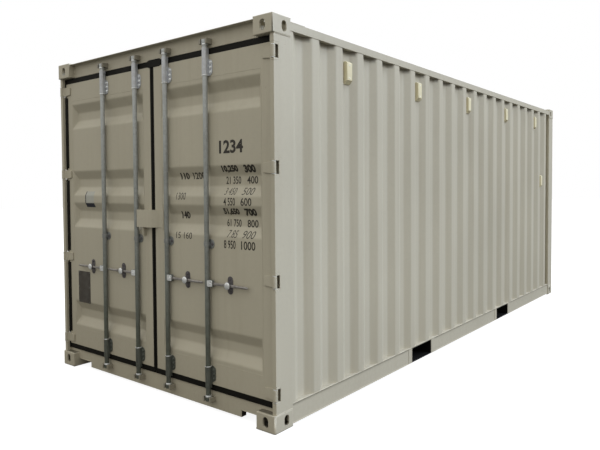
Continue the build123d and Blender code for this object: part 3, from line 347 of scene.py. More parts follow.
STEEL_WEAR = dict(fade=0.04, streaks=0.25, dust=0.4, chips=0.8)
WALL_WEAR = dict(streaks=0.35, dust=0.3, chips=0.4)
MATERIALS = {
    "frame": painted("frame_paint", **STEEL_WEAR),
    # Side paint: painted shadow in the recesses under the top rail.
    "side": painted("side_paint", rail_shadow=0.75, **WALL_WEAR),
    # Foot paint: painted shade deep inside the bottom corner castings.
    "foot": painted("foot_paint", hollow_shade=0.85, **STEEL_WEAR),
    # Rail paint: painted shadow under the rail's lip.
    "rail": painted("rail_paint", rail_shadow=0.55, **STEEL_WEAR),
    "wall": painted("wall_paint", **WALL_WEAR),
    "door": painted("door_paint", dust=0.45, chips=0.4),
    "roof": painted("roof_paint", fade=0.08, streaks=0.0, dust=0.0, chips=0.9),
    "weld": painted("weld_paint", (0.49, 0.45, 0.35), fade=0.1, streaks=0.0, chips=1.0),
    # Keepers painted darker than the frame: painted shade for the shadowed gap behind them, with chips and
    # streaks.
    "keeper": painted("shaded_keeper_paint", (0.29, 0.27, 0.22), fade=0.1, streaks=0.7, dust=0.4, chips=1.0),
    "underframe": painted("underframe_coat", BITUMEN, fade=0.02, streaks=0.2, dust=0.5, chips=0.2,
                          dust_colour=(0.12, 0.10, 0.08), bump=0.8),
    # Fork pockets: black underframe coating, made darker still as painted shade inside the pockets.
    "pocket_shade": painted("pocket_coat_and_shade", (0.006, 0.006, 0.006), fade=0.001, streaks=0.2, dust=0.3,
                      dust_colour=(0.02, 0.018, 0.015), Specular_IOR_Level=0.15),
    "vent": painted("vent_plastic", (0.75, 0.68, 0.46), fade=0.03, streaks=0.25, dust=0.0, bump=0.25),
    "ink": painted("marking_ink", INK, fade=0.004, dust_colour=(0.10, 0.085, 0.06), bump=0.1),
    "label_pale": painted("label_pale", (0.42, 0.42, 0.38), fade=0.03, streaks=0.4, bump=0.1),
    "label_dark": painted("label_dark", (0.015, 0.018, 0.035), fade=0.004, dust_colour=(0.09, 0.085, 0.07),
                          bump=0.1),
    # Bars and brackets darken towards the foot: painted shade, with some grime.
    "bar": zinced("galvanised_bar", (0.50, 0.525, 0.535), 55.0, 0.15, 0.25, 0.35, foot_shade=1.0),
    "bracket": zinced("galvanised_bracket", (0.56, 0.58, 0.62), bloom=0.2, grime=0.35, foot_shade=1.0),
    "catch": zinced("galvanised_catch", (0.13, 0.12, 0.13), grime=0.5, metallic=0.4),
    "grip": zinced("galvanised_grip", (0.33, 0.31, 0.30), bloom=0.15, grime=0.45),
    "bright": zinced("bright_zinc", (0.88, 0.90, 0.92), crystals=90.0, grime=0.25, metallic=0.6),
    "plate": zinced("dark_plate", (0.085, 0.075, 0.065), crystals=30.0),
    "rubber": finish_material("door_rubber", "rubber", {"Dust": 0.03}, 0.4, Specular_IOR_Level=0.15),
    "plywood": finish_material("floor_plywood", "plywood", {}, 0.5),
}


# Meshes

def grid_quads(rows, columns, wrap_rows=False, wrap_columns=False):
    """Corner numbers of the quads of a grid of points, stored row after row."""
    row, column = np.meshgrid(np.arange(rows - (not wrap_rows)), np.arange(columns - (not wrap_columns)),
                              indexing="ij")
    next_row, next_column = (row + 1) % rows, (column + 1) % columns
    quads = [row * columns + column, row * columns + next_column,
             next_row * columns + next_column, next_row * columns + column]
    return np.stack(quads, -1).reshape(-1, 4)


def linked(name, data):
    """New object in the scene for a mesh, a camera or a lamp."""
    item = bpy.data.objects.new(name, data)
    bpy.context.scene.collection.objects.link(item)
    return item


def finish(mesh, material):
    """Gives a mesh its one material."""
    mesh.materials.clear()
    mesh.materials.append(MATERIALS[material])


def place_piece(name, mesh, body, material):
    """Object at the origin that rides on a body, with its finish."""
    finish(mesh, material)
    piece = linked(name, mesh)
    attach(piece, body)
    return piece


@contextmanager
def edited(mesh, *sources):
    """Opens a mesh for edits, or the sources that it is made from, and writes the result to it."""
    build = bmesh.new()
    for source in sources or [mesh]:
        build.from_mesh(source)
    yield build
    build.to_mesh(mesh)
    build.free()


def soften(mesh, degrees):
    """Smooth shading that stays sharp at folds beyond an angle."""
    mesh.shade_smooth()
    mesh.set_sharp_from_angle(angle=math.radians(degrees))


def surface(name, shape, body, slot, material, poles=True, degrees=40.0):
    """New closed piece from a shape, which is an array of points and an array of quads."""
    points, quads = shape
    mesh = bpy.data.meshes.new(name)
    mesh.from_pydata(points.reshape(-1, 3).tolist(), [], quads.tolist())
    with edited(mesh) as build:
        if poles:
            bmesh.ops.remove_doubles(build, verts=build.verts, dist=1e-6)
            bmesh.ops.dissolve_degenerate(build, edges=build.edges, dist=1e-7)
        bmesh.ops.recalc_face_normals(build, faces=build.faces)
    soften(mesh, degrees)
    return place_piece(name, mesh, body, material)


def joined(*shapes):
    """Several shapes as one."""
    points = [shape[0].reshape(-1, 3) for shape in shapes]
    starts = np.cumsum([0, *map(len, points[:-1])])
    return np.concatenate(points), np.concatenate([shape[1] + start for shape, start in zip(shapes, starts)])


def repeated(shape, places):
    """Copies of one shape, moved to each of the places (k, 3)."""
    places = np.asarray(places, float).reshape(-1, 1, 3)
    copies = shape[0].reshape(1, -1, 3) + places
    shifts = np.arange(len(places)).reshape(-1, 1, 1) * copies.shape[1]
    return copies.reshape(-1, 3), (shape[1][None] + shifts).reshape(-1, 4)


def set_out(shape, out, places):
    """Copies at the places of a shape drawn across, up and out, turned to face along out."""
    out = np.asarray(out, float)
    up = np.array((0.0, 1.0, 0.0) if abs(out[2]) > 0.9 else SKYWARD)
    return repeated((shape[0] @ np.stack([np.cross(up, out), up, out]), shape[1]), places)


def points_at(x, y, z):
    """Points from their X, Y and Z, each an array or one number."""
    return np.stack(np.broadcast_arrays(x, y, z), -1)


def turned(profile, sides):
    """Profile of (radius, out) pairs turned about the out direction: r cos a, r sin a, out."""
    profile = np.asarray(profile, float)
    angle = np.arange(sides) * 2 * np.pi / sides
    flat = profile[:, None, :1] * np.stack([np.cos(angle), np.sin(angle)], -1)
    out = np.broadcast_to(profile[:, None, 1:], (len(profile), sides, 1))
    return np.concatenate([flat, out], -1).reshape(-1, 3), grid_quads(len(profile), sides, wrap_columns=True)


def slab(width, height, thickness, corner, edge=0.0010, steps=4):
    """Flat plate: rings of a rounded rectangle, corner middle + corner (cos a, sin a), closed in the middle.

    Its upper edge is drawn in a little.
    """
    angle = (np.linspace(0, np.pi / 2, steps) + np.arange(4)[:, None] * np.pi / 2).ravel()
    turn = np.stack([np.cos(angle), np.sin(angle)], -1)
    middles = np.repeat(np.array([(1, 1), (-1, 1), (-1, -1), (1, -1)]), steps, axis=0)
    middles = middles * (width / 2 - corner, height / 2 - corner)
    rim = middles + corner * turn
    rings = [0 * turn, rim, rim, middles + (corner - edge) * turn, 0 * turn]
    outs = np.array([0, 0, thickness - edge, thickness, thickness])[:, None, None]
    points = np.concatenate([np.stack(rings), np.broadcast_to(outs, (5, len(angle), 1))], -1)
    return points.reshape(-1, 3), grid_quads(5, len(angle), wrap_columns=True)


def carried(path, profile, up=SKYWARD, closed=False):
    """Closed profile carried along a path: the path's point + across times its side + up times its top.

    The side is square to the way ahead and to up, and the top to both. Open ends close to their middle.
    """
    path = np.asarray(path, float)
    ahead = np.roll(path, -1, 0) - np.roll(path, 1, 0) if closed else np.gradient(path, axis=0)
    ahead = ahead / np.linalg.norm(ahead, axis=1, keepdims=True)
    side = np.cross(ahead, up)
    side = side / np.linalg.norm(side, axis=1, keepdims=True)
    top = np.cross(side, ahead)
    profile = np.broadcast_to(profile, (len(path), *np.shape(profile)[-2:]))
    points = path[:, None] + profile[..., :1] * side[:, None] + profile[..., 1:] * top[:, None]
    if not closed:
        ends = points.mean(1, keepdims=True)
        points = np.concatenate([np.broadcast_to(ends[:1], points[:1].shape), points,
                                 np.broadcast_to(ends[-1:], points[:1].shape)])
    return points.reshape(-1, 3), grid_quads(len(points), points.shape[1], closed, True)


def oval(width, height, sides=12, power=1.0):
    """Closed superellipse of points: cos and sin of the angle, each raised to a power and scaled."""
    angle = (np.arange(sides) + 0.5) * 2 * np.pi / sides
    across, up = np.cos(angle), np.sin(angle)
    return np.stack([np.sign(across) * np.abs(across) ** power * width / 2,
                     np.sign(up) * np.abs(up) ** power * height / 2], -1)


def circle(radius, sides):
    """Two rows for a circle: radius times the cos and the sin of the angle."""
    turn = np.linspace(0, 2 * np.pi, sides, endpoint=False)
    return radius * np.cos(turn), radius * np.sin(turn)


def sheet(layer, thickness=SHEET):
    """Closed sheet between two grids of points and the rim round them.

    The function layer gives a grid's X, Y and Z for how far it lies under the face: 0, then the thickness.
    """
    face, back = (points_at(*layer(under)) for under in (0, thickness))
    rows, columns = face.shape[:2]
    size = rows * columns
    number = np.arange(size).reshape(rows, columns)
    ring = np.concatenate([number[0], number[1:, -1], number[-1, -2::-1], number[-2:0:-1, 0]])
    after = np.roll(ring, -1)
    rim = np.stack([after, ring, ring + size, after + size], -1)
    quads = grid_quads(rows, columns)
    points = np.concatenate([face.reshape(-1, 3), back.reshape(-1, 3)])
    return points, np.concatenate([quads, quads[:, ::-1] + size, rim])


def eased(u, radius):
    """0 below 0 and u above it, with the corner rounded by a parabola of the given radius."""
    return np.where(u < -radius, 0.0, np.where(u > radius, u, (u + radius) ** 2 / (4 * radius)))


def ramp(u, radius=0.13):
    """Rises from 0 to 1 as u does, with both corners rounded."""
    return eased(u, radius) - eased(u - 1, radius)


def spread(*stops):
    """Numbers through (start, end, step) runs, without doubles."""
    counts = [max(2, round((end - start) / step) + 1) for start, end, step in stops]
    runs = [np.linspace(*stop[:2], count) for stop, count in zip(stops, counts)]
    return np.unique(np.round(np.concatenate(runs), 6))


# Pressed sheets

def pressed(name, node, shape, body, slot, material):
    """Sheet that stands for a CAD node."""
    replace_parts(surface(name, shape, body, slot, material, poles=False, degrees=60.0), node)


def slope_of(wave):
    """Length of one slope of a corrugation."""
    return (wave["pitch"] - wave["outer_flat"] - wave["inner_flat"]) / 2


def inset(u, wave):
    """Inset of a trapezoid corrugation at u: its depth times a rounded ramp, down and up in each pitch."""
    pitch, flat, slope = wave["pitch"], wave["outer_flat"], slope_of(wave)
    cell = np.clip(np.floor((u - wave["first_flat"] + flat / 2) / pitch), 0, wave["count"] - 1)
    start = wave["first_flat"] + cell * pitch
    return wave["depth"] * np.minimum(ramp((u - start) / slope), ramp((start + pitch - flat - u) / slope))


def fold_lines(wave):
    """Positions along a corrugation, close together at its bends."""
    slope = slope_of(wave)
    bend = np.linspace(-0.2, 0.2, 7) * slope
    bends = [0.0, slope, slope + wave["inner_flat"], wave["pitch"] - wave["outer_flat"]]
    starts = [wave["first_flat"] + number * wave["pitch"] for number in range(wave["count"])]
    lines = [start + place + bend for start in starts for place in bends]
    return np.unique(np.clip(np.concatenate([[0.0, wave["length"]], *lines]), 0, wave["length"]))


def wall_grid(wave):
    """Grids of a wall's length from its middle, its inset and its height."""
    u = fold_lines(wave)
    along, height = np.meshgrid(u, np.linspace(*WALL_Z, 3))
    return along - wave["length"] / 2, np.broadcast_to(inset(u, wave), along.shape), height


def side_sheet(name, side):
    """Side wall: X is the wall's face less the corrugation's inset."""
    y, deep, z = wall_grid(SIDE_WAVE)
    shape = sheet(lambda under: (side * (WALL_X - deep - under), y, z))
    pressed(f"side_sheet_{name}", f"side_wall_{name}", shape, *FRAME_SHEET, "side")


def front_sheet():
    """Closed-end wall: Y is the wall's face less the corrugation's inset."""
    x, deep, z = wall_grid(FRONT_WAVE)
    shape = sheet(lambda under: (x, WALL_Y - deep - under, z))
    pressed("front_sheet", "front_wall", shape, *FRAME_SHEET, "wall")


def pan_depth(x, z):
    """Depth of the pressed pans: PAN_DEPTH times a rounded ramp of the distance to the nearest edge."""
    middle = sum(PANEL_X) / 2
    half = (PANEL_X[1] - PANEL_X[0]) / 2 - PAN_MARGIN
    ends = (half - np.abs(np.abs(x) - middle)) / PAN_END_SLOPE
    sides = [(PAN_HALF - np.abs(z - height)) / PAN_SLOPE for height in PAN_HEIGHTS]
    return PAN_DEPTH * ramp(np.minimum(ends, np.maximum.reduce(sides)))


def leaf_sheet(name, side):
    """Door sheet with its four pressed pans: Y is the leaf's face plus the pans' depth."""
    low, high = PANEL_X
    bend, fine = 0.055, 0.0045
    x = spread((low, low + bend, fine), (low + bend, high - bend, 0.12), (high - bend, high, fine))
    runs = [(height - 0.115, height + 0.115, 0.0046) for height in PAN_HEIGHTS]
    z = spread(*runs, (PANEL_Z[0], PANEL_Z[0] + SHEET, SHEET), (PANEL_Z[1] - SHEET, PANEL_Z[1], SHEET))
    grid_x, grid_z = np.meshgrid(x, z)
    y = LEAF_FACE + pan_depth(grid_x, grid_z)
    shape = sheet(lambda under: (side * grid_x, y + under, grid_z))
    pressed(f"leaf_sheet_{name}", f"door_panel_{name}", shape, f"{name}_door", "door_paint", "door")


def flat_sheet(x_range, y_range):
    """Level piece of the roof's sheet: Z is the sheet's top everywhere."""
    x, y = np.meshgrid(np.linspace(*x_range, 5), np.linspace(*y_range, 2))
    return sheet(lambda under: (x, y, ROOF_Z - under))


def roof_sheet():
    """Roof: Z is the sheet's top less the troughs' depth, a rounded ramp from the trough's nearest edge."""
    edge, inner, fine, coarse = TROUGH_END, TROUGH_END - 0.03, 0.005, 0.06
    x = spread((-FRAME_X, -edge, coarse), (-edge, -inner, fine), (-inner, inner, 2 * coarse),
               (inner, edge, fine), (edge, FRAME_X, coarse))
    lines = [place + np.linspace(-0.055, 0.055, 17) for place in TROUGHS]
    grid_x, grid_y = np.meshgrid(x, np.unique(np.concatenate([[-CASTING_Y, CASTING_Y], *lines])))
    across = (TROUGH_HALF - np.abs(grid_y[..., None] - TROUGHS).min(-1)) / TROUGH_SLOPE
    depth = TROUGH_DEPTH * ramp(np.minimum(across, (edge - np.abs(grid_x)) / TROUGH_SLOPE))
    middle = sheet(lambda under: (grid_x, grid_y, ROOF_Z - depth - under))
    door_strip = flat_sheet((-CASTING_X, CASTING_X), (END_FACE + 0.004, -CASTING_Y))
    far_strip = flat_sheet((-CASTING_X, CASTING_X), (CASTING_Y, FRAME_Y))
    pressed("roof_sheet", "roof_panel", joined(middle, door_strip, far_strip), *FRAME_SHEET, "roof")


# Rounded copies of the solid pieces

SHARP_FOLD = 50.0


def rounded(node, body, slot, material, width, shortest=0.0):
    """Copy of a CAD node with its sharp edges rounded, which stands for it."""
    mesh = bpy.data.meshes.new(f"{node}_rounded")
    with edited(mesh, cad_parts[node].data) as build:
        bmesh.ops.remove_doubles(build, verts=build.verts, dist=2e-5)
        bmesh.ops.dissolve_limit(build, angle_limit=math.radians(0.5), verts=build.verts, edges=build.edges)
        sharp = [edge for edge in build.edges if edge.is_manifold and edge.calc_length() > shortest
                 and edge.calc_face_angle() > math.radians(SHARP_FOLD)]
        bmesh.ops.bevel(build, geom=sharp, offset=width, offset_type="OFFSET", segments=3 if shortest else 2,
                        profile=0.5, affect="EDGES", clamp_overlap=False, miter_outer="ARC")
    soften(mesh, SHARP_FOLD)
    piece = place_piece(f"{node}_rounded", mesh, body, material)
    piece.modifiers.new("flat_faces", "WEIGHTED_NORMAL").keep_sharp = True
    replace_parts(piece, node)


ROUNDED = [
    ("bottom_corner_castings", *FRAME_STEEL, "foot", 0.0090, 0.1),
    ("top_corner_castings", *FRAME_STEEL, "frame", 0.0060, 0.1),
    ("rear_posts", *FRAME_STEEL, "frame", 0.0022),
    ("front_posts", *FRAME_STEEL, "frame", 0.0022),
    ("door_header", *FRAME_STEEL, "frame", 0.0015),
    ("door_sill", *FRAME_STEEL, "frame", 0.0018),
    ("front_top_rail", *FRAME_STEEL, "frame", 0.0012),
    ("top_side_rails", *FRAME_STEEL, "frame", 0.0012),
    ("front_bottom_rail", *FRAME_STEEL, "frame", 0.0015),
    ("bottom_side_rails", *FRAME_STEEL, "rail", 0.0015),
    ("hinge_pins", *FRAME_STEEL, "frame", 0.0012),
    ("cam_keepers", *FRAME_STEEL, "keeper", 0.0015),
    ("ventilators", "container_frame", "vent_plastic", "vent", 0.0012),
    ("roof_corner_plates", *FRAME_SHEET, "roof", 0.0012),
    ("lock_cover", "right_door", "door_paint", "door", 0.0012),
    ("lock_lug", "left_door", "door_paint", "door", 0.0015),
]
for door in SIDES:
    ROUNDED += [
        (f"door_frame_{door}", f"{door}_door", "door_paint", "door", 0.0015),
        (f"hinge_blades_{door}", f"{door}_door", "door_paint", "door", 0.0026),
        (f"bar_brackets_{door}", f"{door}_door", "galvanised_steel", "bracket", 0.0010),
        (f"handle_catches_{door}", f"{door}_door", "galvanised_steel", "catch", 0.0012),
    ]
    for bar in BARS:
        lock_bar = f"{bar}_lock_bar_{door}"
        ROUNDED.append((lock_bar, lock_bar, "galvanised_steel", "bar", 0.0012))

KEPT_NODES = {"floor_boards": "plywood", "floor_centre_rail": "underframe", "cross_members": "underframe",
              "fork_pockets": "pocket_shade", "door_gasket_right": "rubber", "door_gasket_left": "rubber"}


def keep_nodes():
    """CAD nodes whose shape stays get their finish."""
    for node, material in KEPT_NODES.items():
        finish(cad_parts[node].data, material)


# Fasteners and lock gear

BOLT = [(0, -0.001), (0.0115, -0.001), (0.0115, 0.0012), (0.0088, 0.0016), (0.0085, 0.0060),
        (0.0070, 0.0074), (0, 0.0074)]
SCREW = [(0, -0.001), (0.0052, -0.001), (0.0048, 0.0008), (0, 0.0016)]
RIVET = [(0, -0.001), (0.0060, -0.001), (0.0055, 0.0015), (0.0032, 0.0030), (0, 0.0034)]
DOME = [(0, -0.001), (0.0245, -0.001), (0.0240, 0.0020), (0.0195, 0.0048), (0.0105, 0.0064), (0, 0.0068)]
WASHER = [(0, -0.0011), (0.0135, -0.0011), (0.0135, 0.0011), (0, 0.0011)]
CAM_RING = [(0, 0), (0.0195, 0), (0.0205, 0.0015), (0.0205, 0.0105), (0.0190, 0.0125), (0, 0.0125)]
CAM_RING_Z = (0.1015, 2.4870)
SLEEVE_RIM_Z = (0.3135, 2.2865)
BOLT_COLUMN = 0.036
BOLT_RISE = 0.032
CATCH_RISE = 0.043
BRACKET_THICK = 0.005
CATCH_THICK = 0.004
BLADE_STEP = 0.0395
HUB_PIN = 0.042
HUB_CAP = 0.034
HANDLE_END = 0.380
BLADE_THICK = 0.0090
BLADE_TALL = 0.0200
BLADE_WAIST = 0.0040
GRIP_SIZE = 0.0170


def fastened(name, profile, sides, out, places, body, slot, material):
    """Row of turned heads, one at each place."""
    surface(name, set_out(turned(profile, sides), out, places), body, slot, material)


def leaf_fasteners(name, side):
    """Bolts of one leaf's bar brackets, guides and catches, and washers under its hinge blades."""
    def row(kind, profile, sides, places, material, out=AHEAD):
        fastened(f"{kind}_{name}", profile, sides, out, places, f"{name}_door", "galvanised_steel", material)

    columns = [side * (bar + way * BOLT_COLUMN) for bar in BARS.values() for way in (-1, 1)]
    for place, material in (("foot", "bracket"), ("head", "bright")):
        heights = [BRACKET_ROWS[place] + way * BOLT_RISE for way in (-1, 0, 1)]
        bolts = [(x, LEAF_FACE - BRACKET_THICK, z) for x in columns for z in heights]
        row(f"{place}_bolts", BOLT, 6, bolts, material)
    row("guide_bolts", BOLT, 6, [(x, LEAF_FACE - BRACKET_THICK, GUIDE_Z) for x in columns], "catch")
    catch_x = [side * (bar + CATCH_PLACE) for bar in BARS.values()]
    bolts = [(x, LEAF_FACE - CATCH_THICK, HANDLE_Z + way * CATCH_RISE) for x in catch_x for way in (-1, 1)]
    row("catch_bolts", BOLT, 6, bolts, "catch")
    row("catch_heads", DOME, 20, [(x, BAR_Y - 0.011, HANDLE_Z) for x in catch_x], "bright")
    heights = [height + way * BLADE_STEP for height in HINGE_HEIGHTS for way in (-1, 1)]
    row("hinge_washers", WASHER, 16, [(side * HINGE[0], HINGE[1], z) for z in heights], "bright", SKYWARD)


def handle(name, place, side):
    """Handle: a flat blade that swells into a round grip, with a ring round the hub's pin.

    The blade is a superellipse carried along X; its size and power ease from flat to round along it, it is
    waisted by a half wave before the grip, and its tip closes as a quarter of an ellipse.
    """
    bar = BARS[place]
    start, end = bar + HUB_PIN + 0.010, bar + HANDLE_END
    t = np.concatenate([[0.0], np.linspace(0.01, 0.97, 25), [0.985, 0.995, 1.0]])
    grip = ramp((t - 0.60) / 0.12, 0.3)
    tip = np.sqrt(np.clip(1 - ((t - 0.95) / 0.0501) ** 2, 0.05, 1)) * (t > 0.95) + (t <= 0.95)
    waist = np.sin(np.pi * np.clip(t / 0.6, 0, 1))
    deep = (BLADE_THICK + (GRIP_SIZE - BLADE_THICK) * grip) * tip
    tall = (BLADE_TALL + (GRIP_SIZE - BLADE_TALL) * grip - BLADE_WAIST * waist) * tip
    power = 0.45 + 0.55 * grip
    profile = oval(deep[:, None], tall[:, None], 16, power[:, None])
    path = points_at(side * (start + t * (end - start)), BAR_Y, HANDLE_Z)
    pin_x = side * (bar + HUB_PIN)
    across, up = circle(0.0108, 24)
    eye = points_at(pin_x + across, BAR_Y, HANDLE_Z + up)
    ring = carried(eye, oval(0.0080, 0.0090, 10, 0.6), up=(0.0, 1.0, 0.0), closed=True)
    node = f"{place}_handle_{name}"
    shape = joined(carried(path, profile), ring)
    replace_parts(surface(f"handle_{place}_{name}", shape, node, "galvanised_steel", "grip"), node)
    cap_y, thick = BAR_Y - 0.0095, 0.0035
    cap_place, pin_place = (side * (bar + HUB_CAP), cap_y, HANDLE_Z), (pin_x, cap_y - thick, HANDLE_Z)
    shape = joined(set_out(slab(0.050, 0.042, thick, 0.008), AHEAD, [cap_place]),
                   set_out(turned(RIVET, 12), AHEAD, [pin_place]))
    surface(f"hub_cap_{place}_{name}", shape, f"{place}_lock_bar_{name}", "galvanised_steel", "bright")


def lock_rings(name, side):
    """Rings of the lock gear: turned ones on the bars beside the cams, and ovals carried round the sleeves.

    The rims are cut level in front, where Y would pass the container's length.
    """
    for place, bar in BARS.items():
        rings = set_out(turned(CAM_RING, 24), SKYWARD, [(side * bar, BAR_Y, z) for z in CAM_RING_Z])
        surface(f"cam_rings_{place}_{name}", rings, f"{place}_lock_bar_{name}", "galvanised_steel", "bright")
    rim = carried(points_at(*circle(0.0210, 32), 0.0), oval(0.0046, 0.0060, 8), closed=True)
    points, quads = repeated(rim, [(side * bar, BAR_Y, z) for bar in BARS.values() for z in SLEEVE_RIM_Z])
    points[:, 1] = np.maximum(points[:, 1], -HALF_LENGTH + 0.0002)
    surface(f"sleeve_rims_{name}", (points, quads), f"{name}_door", "galvanised_steel", "bright")


# Welds, lips and small fittings of the frame

BEAD = 0.0045
THIN_BEAD = 0.0040
CHEEK = 0.062
SILL_END = 0.8797
LIP = [(0.0, 0.0), (0.0068, 0.0), (0.0078, 0.0010), (0.0078, 0.0032), (0.0068, 0.0042), (0.0, 0.0042)]
VENTS = {2: 2.432, 6: 2.432, 10: 2.432, 14: 2.432, 18: 2.432, 19: 1.669}
VENT_SCREW_DROPS = (0.026, 0.118)
LASHING_X = 1.152
LASHING_END = 2.4
FLOOR_SCREW_X = (-1.12, -0.78, -0.44, -0.06, 0.06, 0.44, 0.78, 1.12)


def bead(start, end, width=BEAD, ripple=0.012):
    """Weld bead: a small round profile along a line, whose size rises and falls once a ripple."""
    start, end = np.asarray(start, float), np.asarray(end, float)
    length = np.linalg.norm(end - start)
    along = np.linspace(0, length, max(3, int(length / ripple * 4)))
    size = width * (1 + 0.16 * np.sin(2 * np.pi * along / ripple))
    ends = np.clip(np.minimum(along, length - along) / 0.004, 0.3, 1)
    profile = oval(1.0, 1.0, 6)[None] * (size * ends)[:, None, None]
    up = (0.0, 1.0, 0.0) if abs((end - start)[2]) > 0.5 * length else SKYWARD
    return carried(start + along[:, None] / length * (end - start), profile, up=up)


def sill_ends():
    """Near-black caps over the ends of the sill's apron, as painted shade, and the rolled lips of the notches
    beside it.
    """
    end = slab(0.043, 0.046, 0.0015, 0.002)
    lip = (END_FACE - 0.0005, 0.0665)
    for name, side in SIDES.items():
        # Near-black cap: painted shade over the apron's end, where it lies in shadow.
        cap = set_out(end, (side, 0, 0), [(side * SILL_END, END_FACE + 0.0230, 0.0420)])
        surface(f"sill_end_shade_{name}", cap, "container_frame", "underframe_paint", "underframe")
        run = bead((side * (SILL_END + 0.0043), *lip), (side * (CASTING_X - 0.002), *lip), 0.0050)
        surface(f"sill_lip_{name}", run, *FRAME_STEEL, "frame", degrees=80.0)


def frame_welds():
    """Beads where posts, castings, rails and walls of the frame meet."""
    beads = []
    foot, head = WALL_Z[0] + 0.005, WALL_Z[1] - 0.005
    for side in SIDES.values():
        outer, inner = side * (FRAME_X + 0.0003), side * (CASTING_X + 0.003)
        edge, jamb = side * (FRAME_X - 0.004), side * (FRAME_X - 0.029)
        level = [((outer, POST_FACE + 0.004), (outer, -CASTING_Y - 0.002)),
                 ((outer, CASTING_Y + 0.003), (outer, FRAME_Y - 0.004)),
                 ((edge, POST_FACE - 0.0005), (jamb, POST_FACE - 0.0005)),
                 ((inner, FRAME_Y - 0.0003), (edge, FRAME_Y - 0.0003))]
        for z in (POST_Z[0] + 0.0015, POST_Z[1] - 0.0015):
            beads += [bead((*start, z), (*end, z)) for start, end in level]
        wall, casting = side * (WALL_X + 0.0005), side * CASTING_X
        for x, y in ((wall, -CASTING_Y - 0.0005), (wall, CASTING_Y + 0.0005), (casting, WALL_Y + 0.001)):
            beads.append(bead((x, y, foot), (x, y, head), THIN_BEAD))
        end = (casting, END_FACE - 0.0005)
        beads.append(bead((*end, HEADER_Z[0] + 0.005), (*end, HEADER_Z[1] - 0.019)))
    surface("frame_welds", joined(*beads), *FRAME_STEEL, "weld", degrees=80.0)


def leaf_welds(name, side):
    """Flat beads round one leaf's sheet, where it meets the tubes."""
    (left, right), (low, high) = PANEL_X, PANEL_Z
    y = LEAF_FACE + 0.0002
    lines = [((left, low), (right, low)), ((left, high), (right, high)), ((left, low), (left, high)),
             ((right, low), (right, high))]
    beads = [bead((side * x0, y, z0), (side * x1, y, z1), 0.0030, 0.016) for (x0, z0), (x1, z1) in lines]
    surface(f"leaf_welds_{name}", joined(*beads), f"{name}_door", "door_paint", "door", degrees=80.0)


def rail_lips():
    """Rolled lips carried along the bottom rails: one under the wall's foot, low ones beside the pockets."""
    reach = FORK_HALF + CHEEK + 0.0005
    near, far = FORK_Y - reach, FORK_Y + reach
    runs = [(-CASTING_Y + 0.0005, CASTING_Y - 0.0005, RAIL_Z[1] - 0.0045, 1.0)]
    runs += [(start, end, RAIL_Z[0] + 0.0015, 0.62) for start, end in
             ((-CASTING_Y, -far), (-near, near), (far, CASTING_Y))]
    for name, side in SIDES.items():
        x = side * (RAIL_X - 0.0005)
        shapes = [carried(np.linspace((x, start, z), (x, end, z), 9), np.array(LIP) * (side * share, 1.0))
                  for start, end, z, share in runs]
        surface(f"rail_lips_{name}", joined(*shapes), *FRAME_STEEL, "frame")


def fork_cheeks():
    """Stiffening plates on the bottom rails, each side of the fork pockets' mouths."""
    plate = slab(CHEEK, 0.128, 0.0035, 0.002)
    reach = FORK_HALF + CHEEK / 2 + 0.0005
    shapes = []
    for side in SIDES.values():
        places = [(side * (RAIL_X - 0.0005), way * FORK_Y + edge * reach, RAIL_Z[0] + 0.0645)
                  for way in (-1, 1) for edge in (-1, 1)]
        shapes.append(set_out(plate, (side, 0, 0), places))
    surface("fork_cheeks", joined(*shapes), *FRAME_STEEL, "frame")


def vent_screws():
    """Two screws in the face of each ventilator."""
    first = SIDE_WAVE["first_flat"] + slope_of(SIDE_WAVE) + SIDE_WAVE["inner_flat"] / 2 - CASTING_Y
    for name, side in SIDES.items():
        places = [(side * VENT_FRONT, first + recess * SIDE_WAVE["pitch"], top - drop)
                  for recess, top in VENTS.items() for drop in VENT_SCREW_DROPS]
        fastened(f"vent_screws_{name}", SCREW, 10, (side, 0, 0), places, *FRAME_ZINC, "bright")


def floor_screws():
    """Rows of screws through the plywood into the cross members."""
    first, last = -CASTING_Y + 0.060, CASTING_Y - 0.105
    rows = np.linspace(first, last, int((last - first) // 0.300) + 1) + 0.022
    rows = rows[np.abs(np.abs(rows) - FORK_Y) > 0.230]
    places = [(x, y, FLOOR_TOP) for y in rows for x in FLOOR_SCREW_X]
    fastened("floor_screws", SCREW, 8, SKYWARD, places, *FRAME_ZINC, "bracket")


def lashing_rings():
    """Wire rings along the foot and the head of both side walls, inside: a circle carries a round profile."""
    ring = carried(points_at(0.0, *circle(0.022, 24)), oval(0.009, 0.009, 8), up=(1, 0, 0), closed=True)
    thick = 0.005
    rings, tabs = [], []
    for side in SIDES.values():
        for y in np.linspace(-LASHING_END, LASHING_END, 5):
            for z, tab_z in ((FLOOR_TOP + 0.024, FLOOR_TOP + 0.004), (WALL_Z[1] - 0.017, WALL_Z[1] + 0.002)):
                rings.append((side * LASHING_X, y, z))
                tabs.append((side * (LASHING_X + 0.0025) - thick / 2, y, tab_z))
    tab = slab(0.030, 0.022, thick, 0.004)
    shape = joined(repeated(ring, rings), set_out(tab, (1, 0, 0), tabs))
    surface("lashing_rings", shape, *FRAME_ZINC, "bracket")


# Seals

SEAL_LIP_FROM = {"right": 1.1635, "left": 1.1450}
SEAL_LIP_SWELL = 0.0092
SEAL_LIP_THICK = 0.0025
SEAL_LIP_GAP = 0.052
WEDGE_X, WEDGE_Z = 0.030, 2.450


def seal_wedge():
    """Rubber flap over the meeting seals, under the header."""
    flap = slab(0.160, 0.056, 0.006, 0.022, 0.002)
    shape = set_out(flap, AHEAD, [(WEDGE_X, LEAF_FACE + 0.0015, WEDGE_Z)])
    surface("seal_wedge", shape, "right_door", "seal_rubber", "rubber")


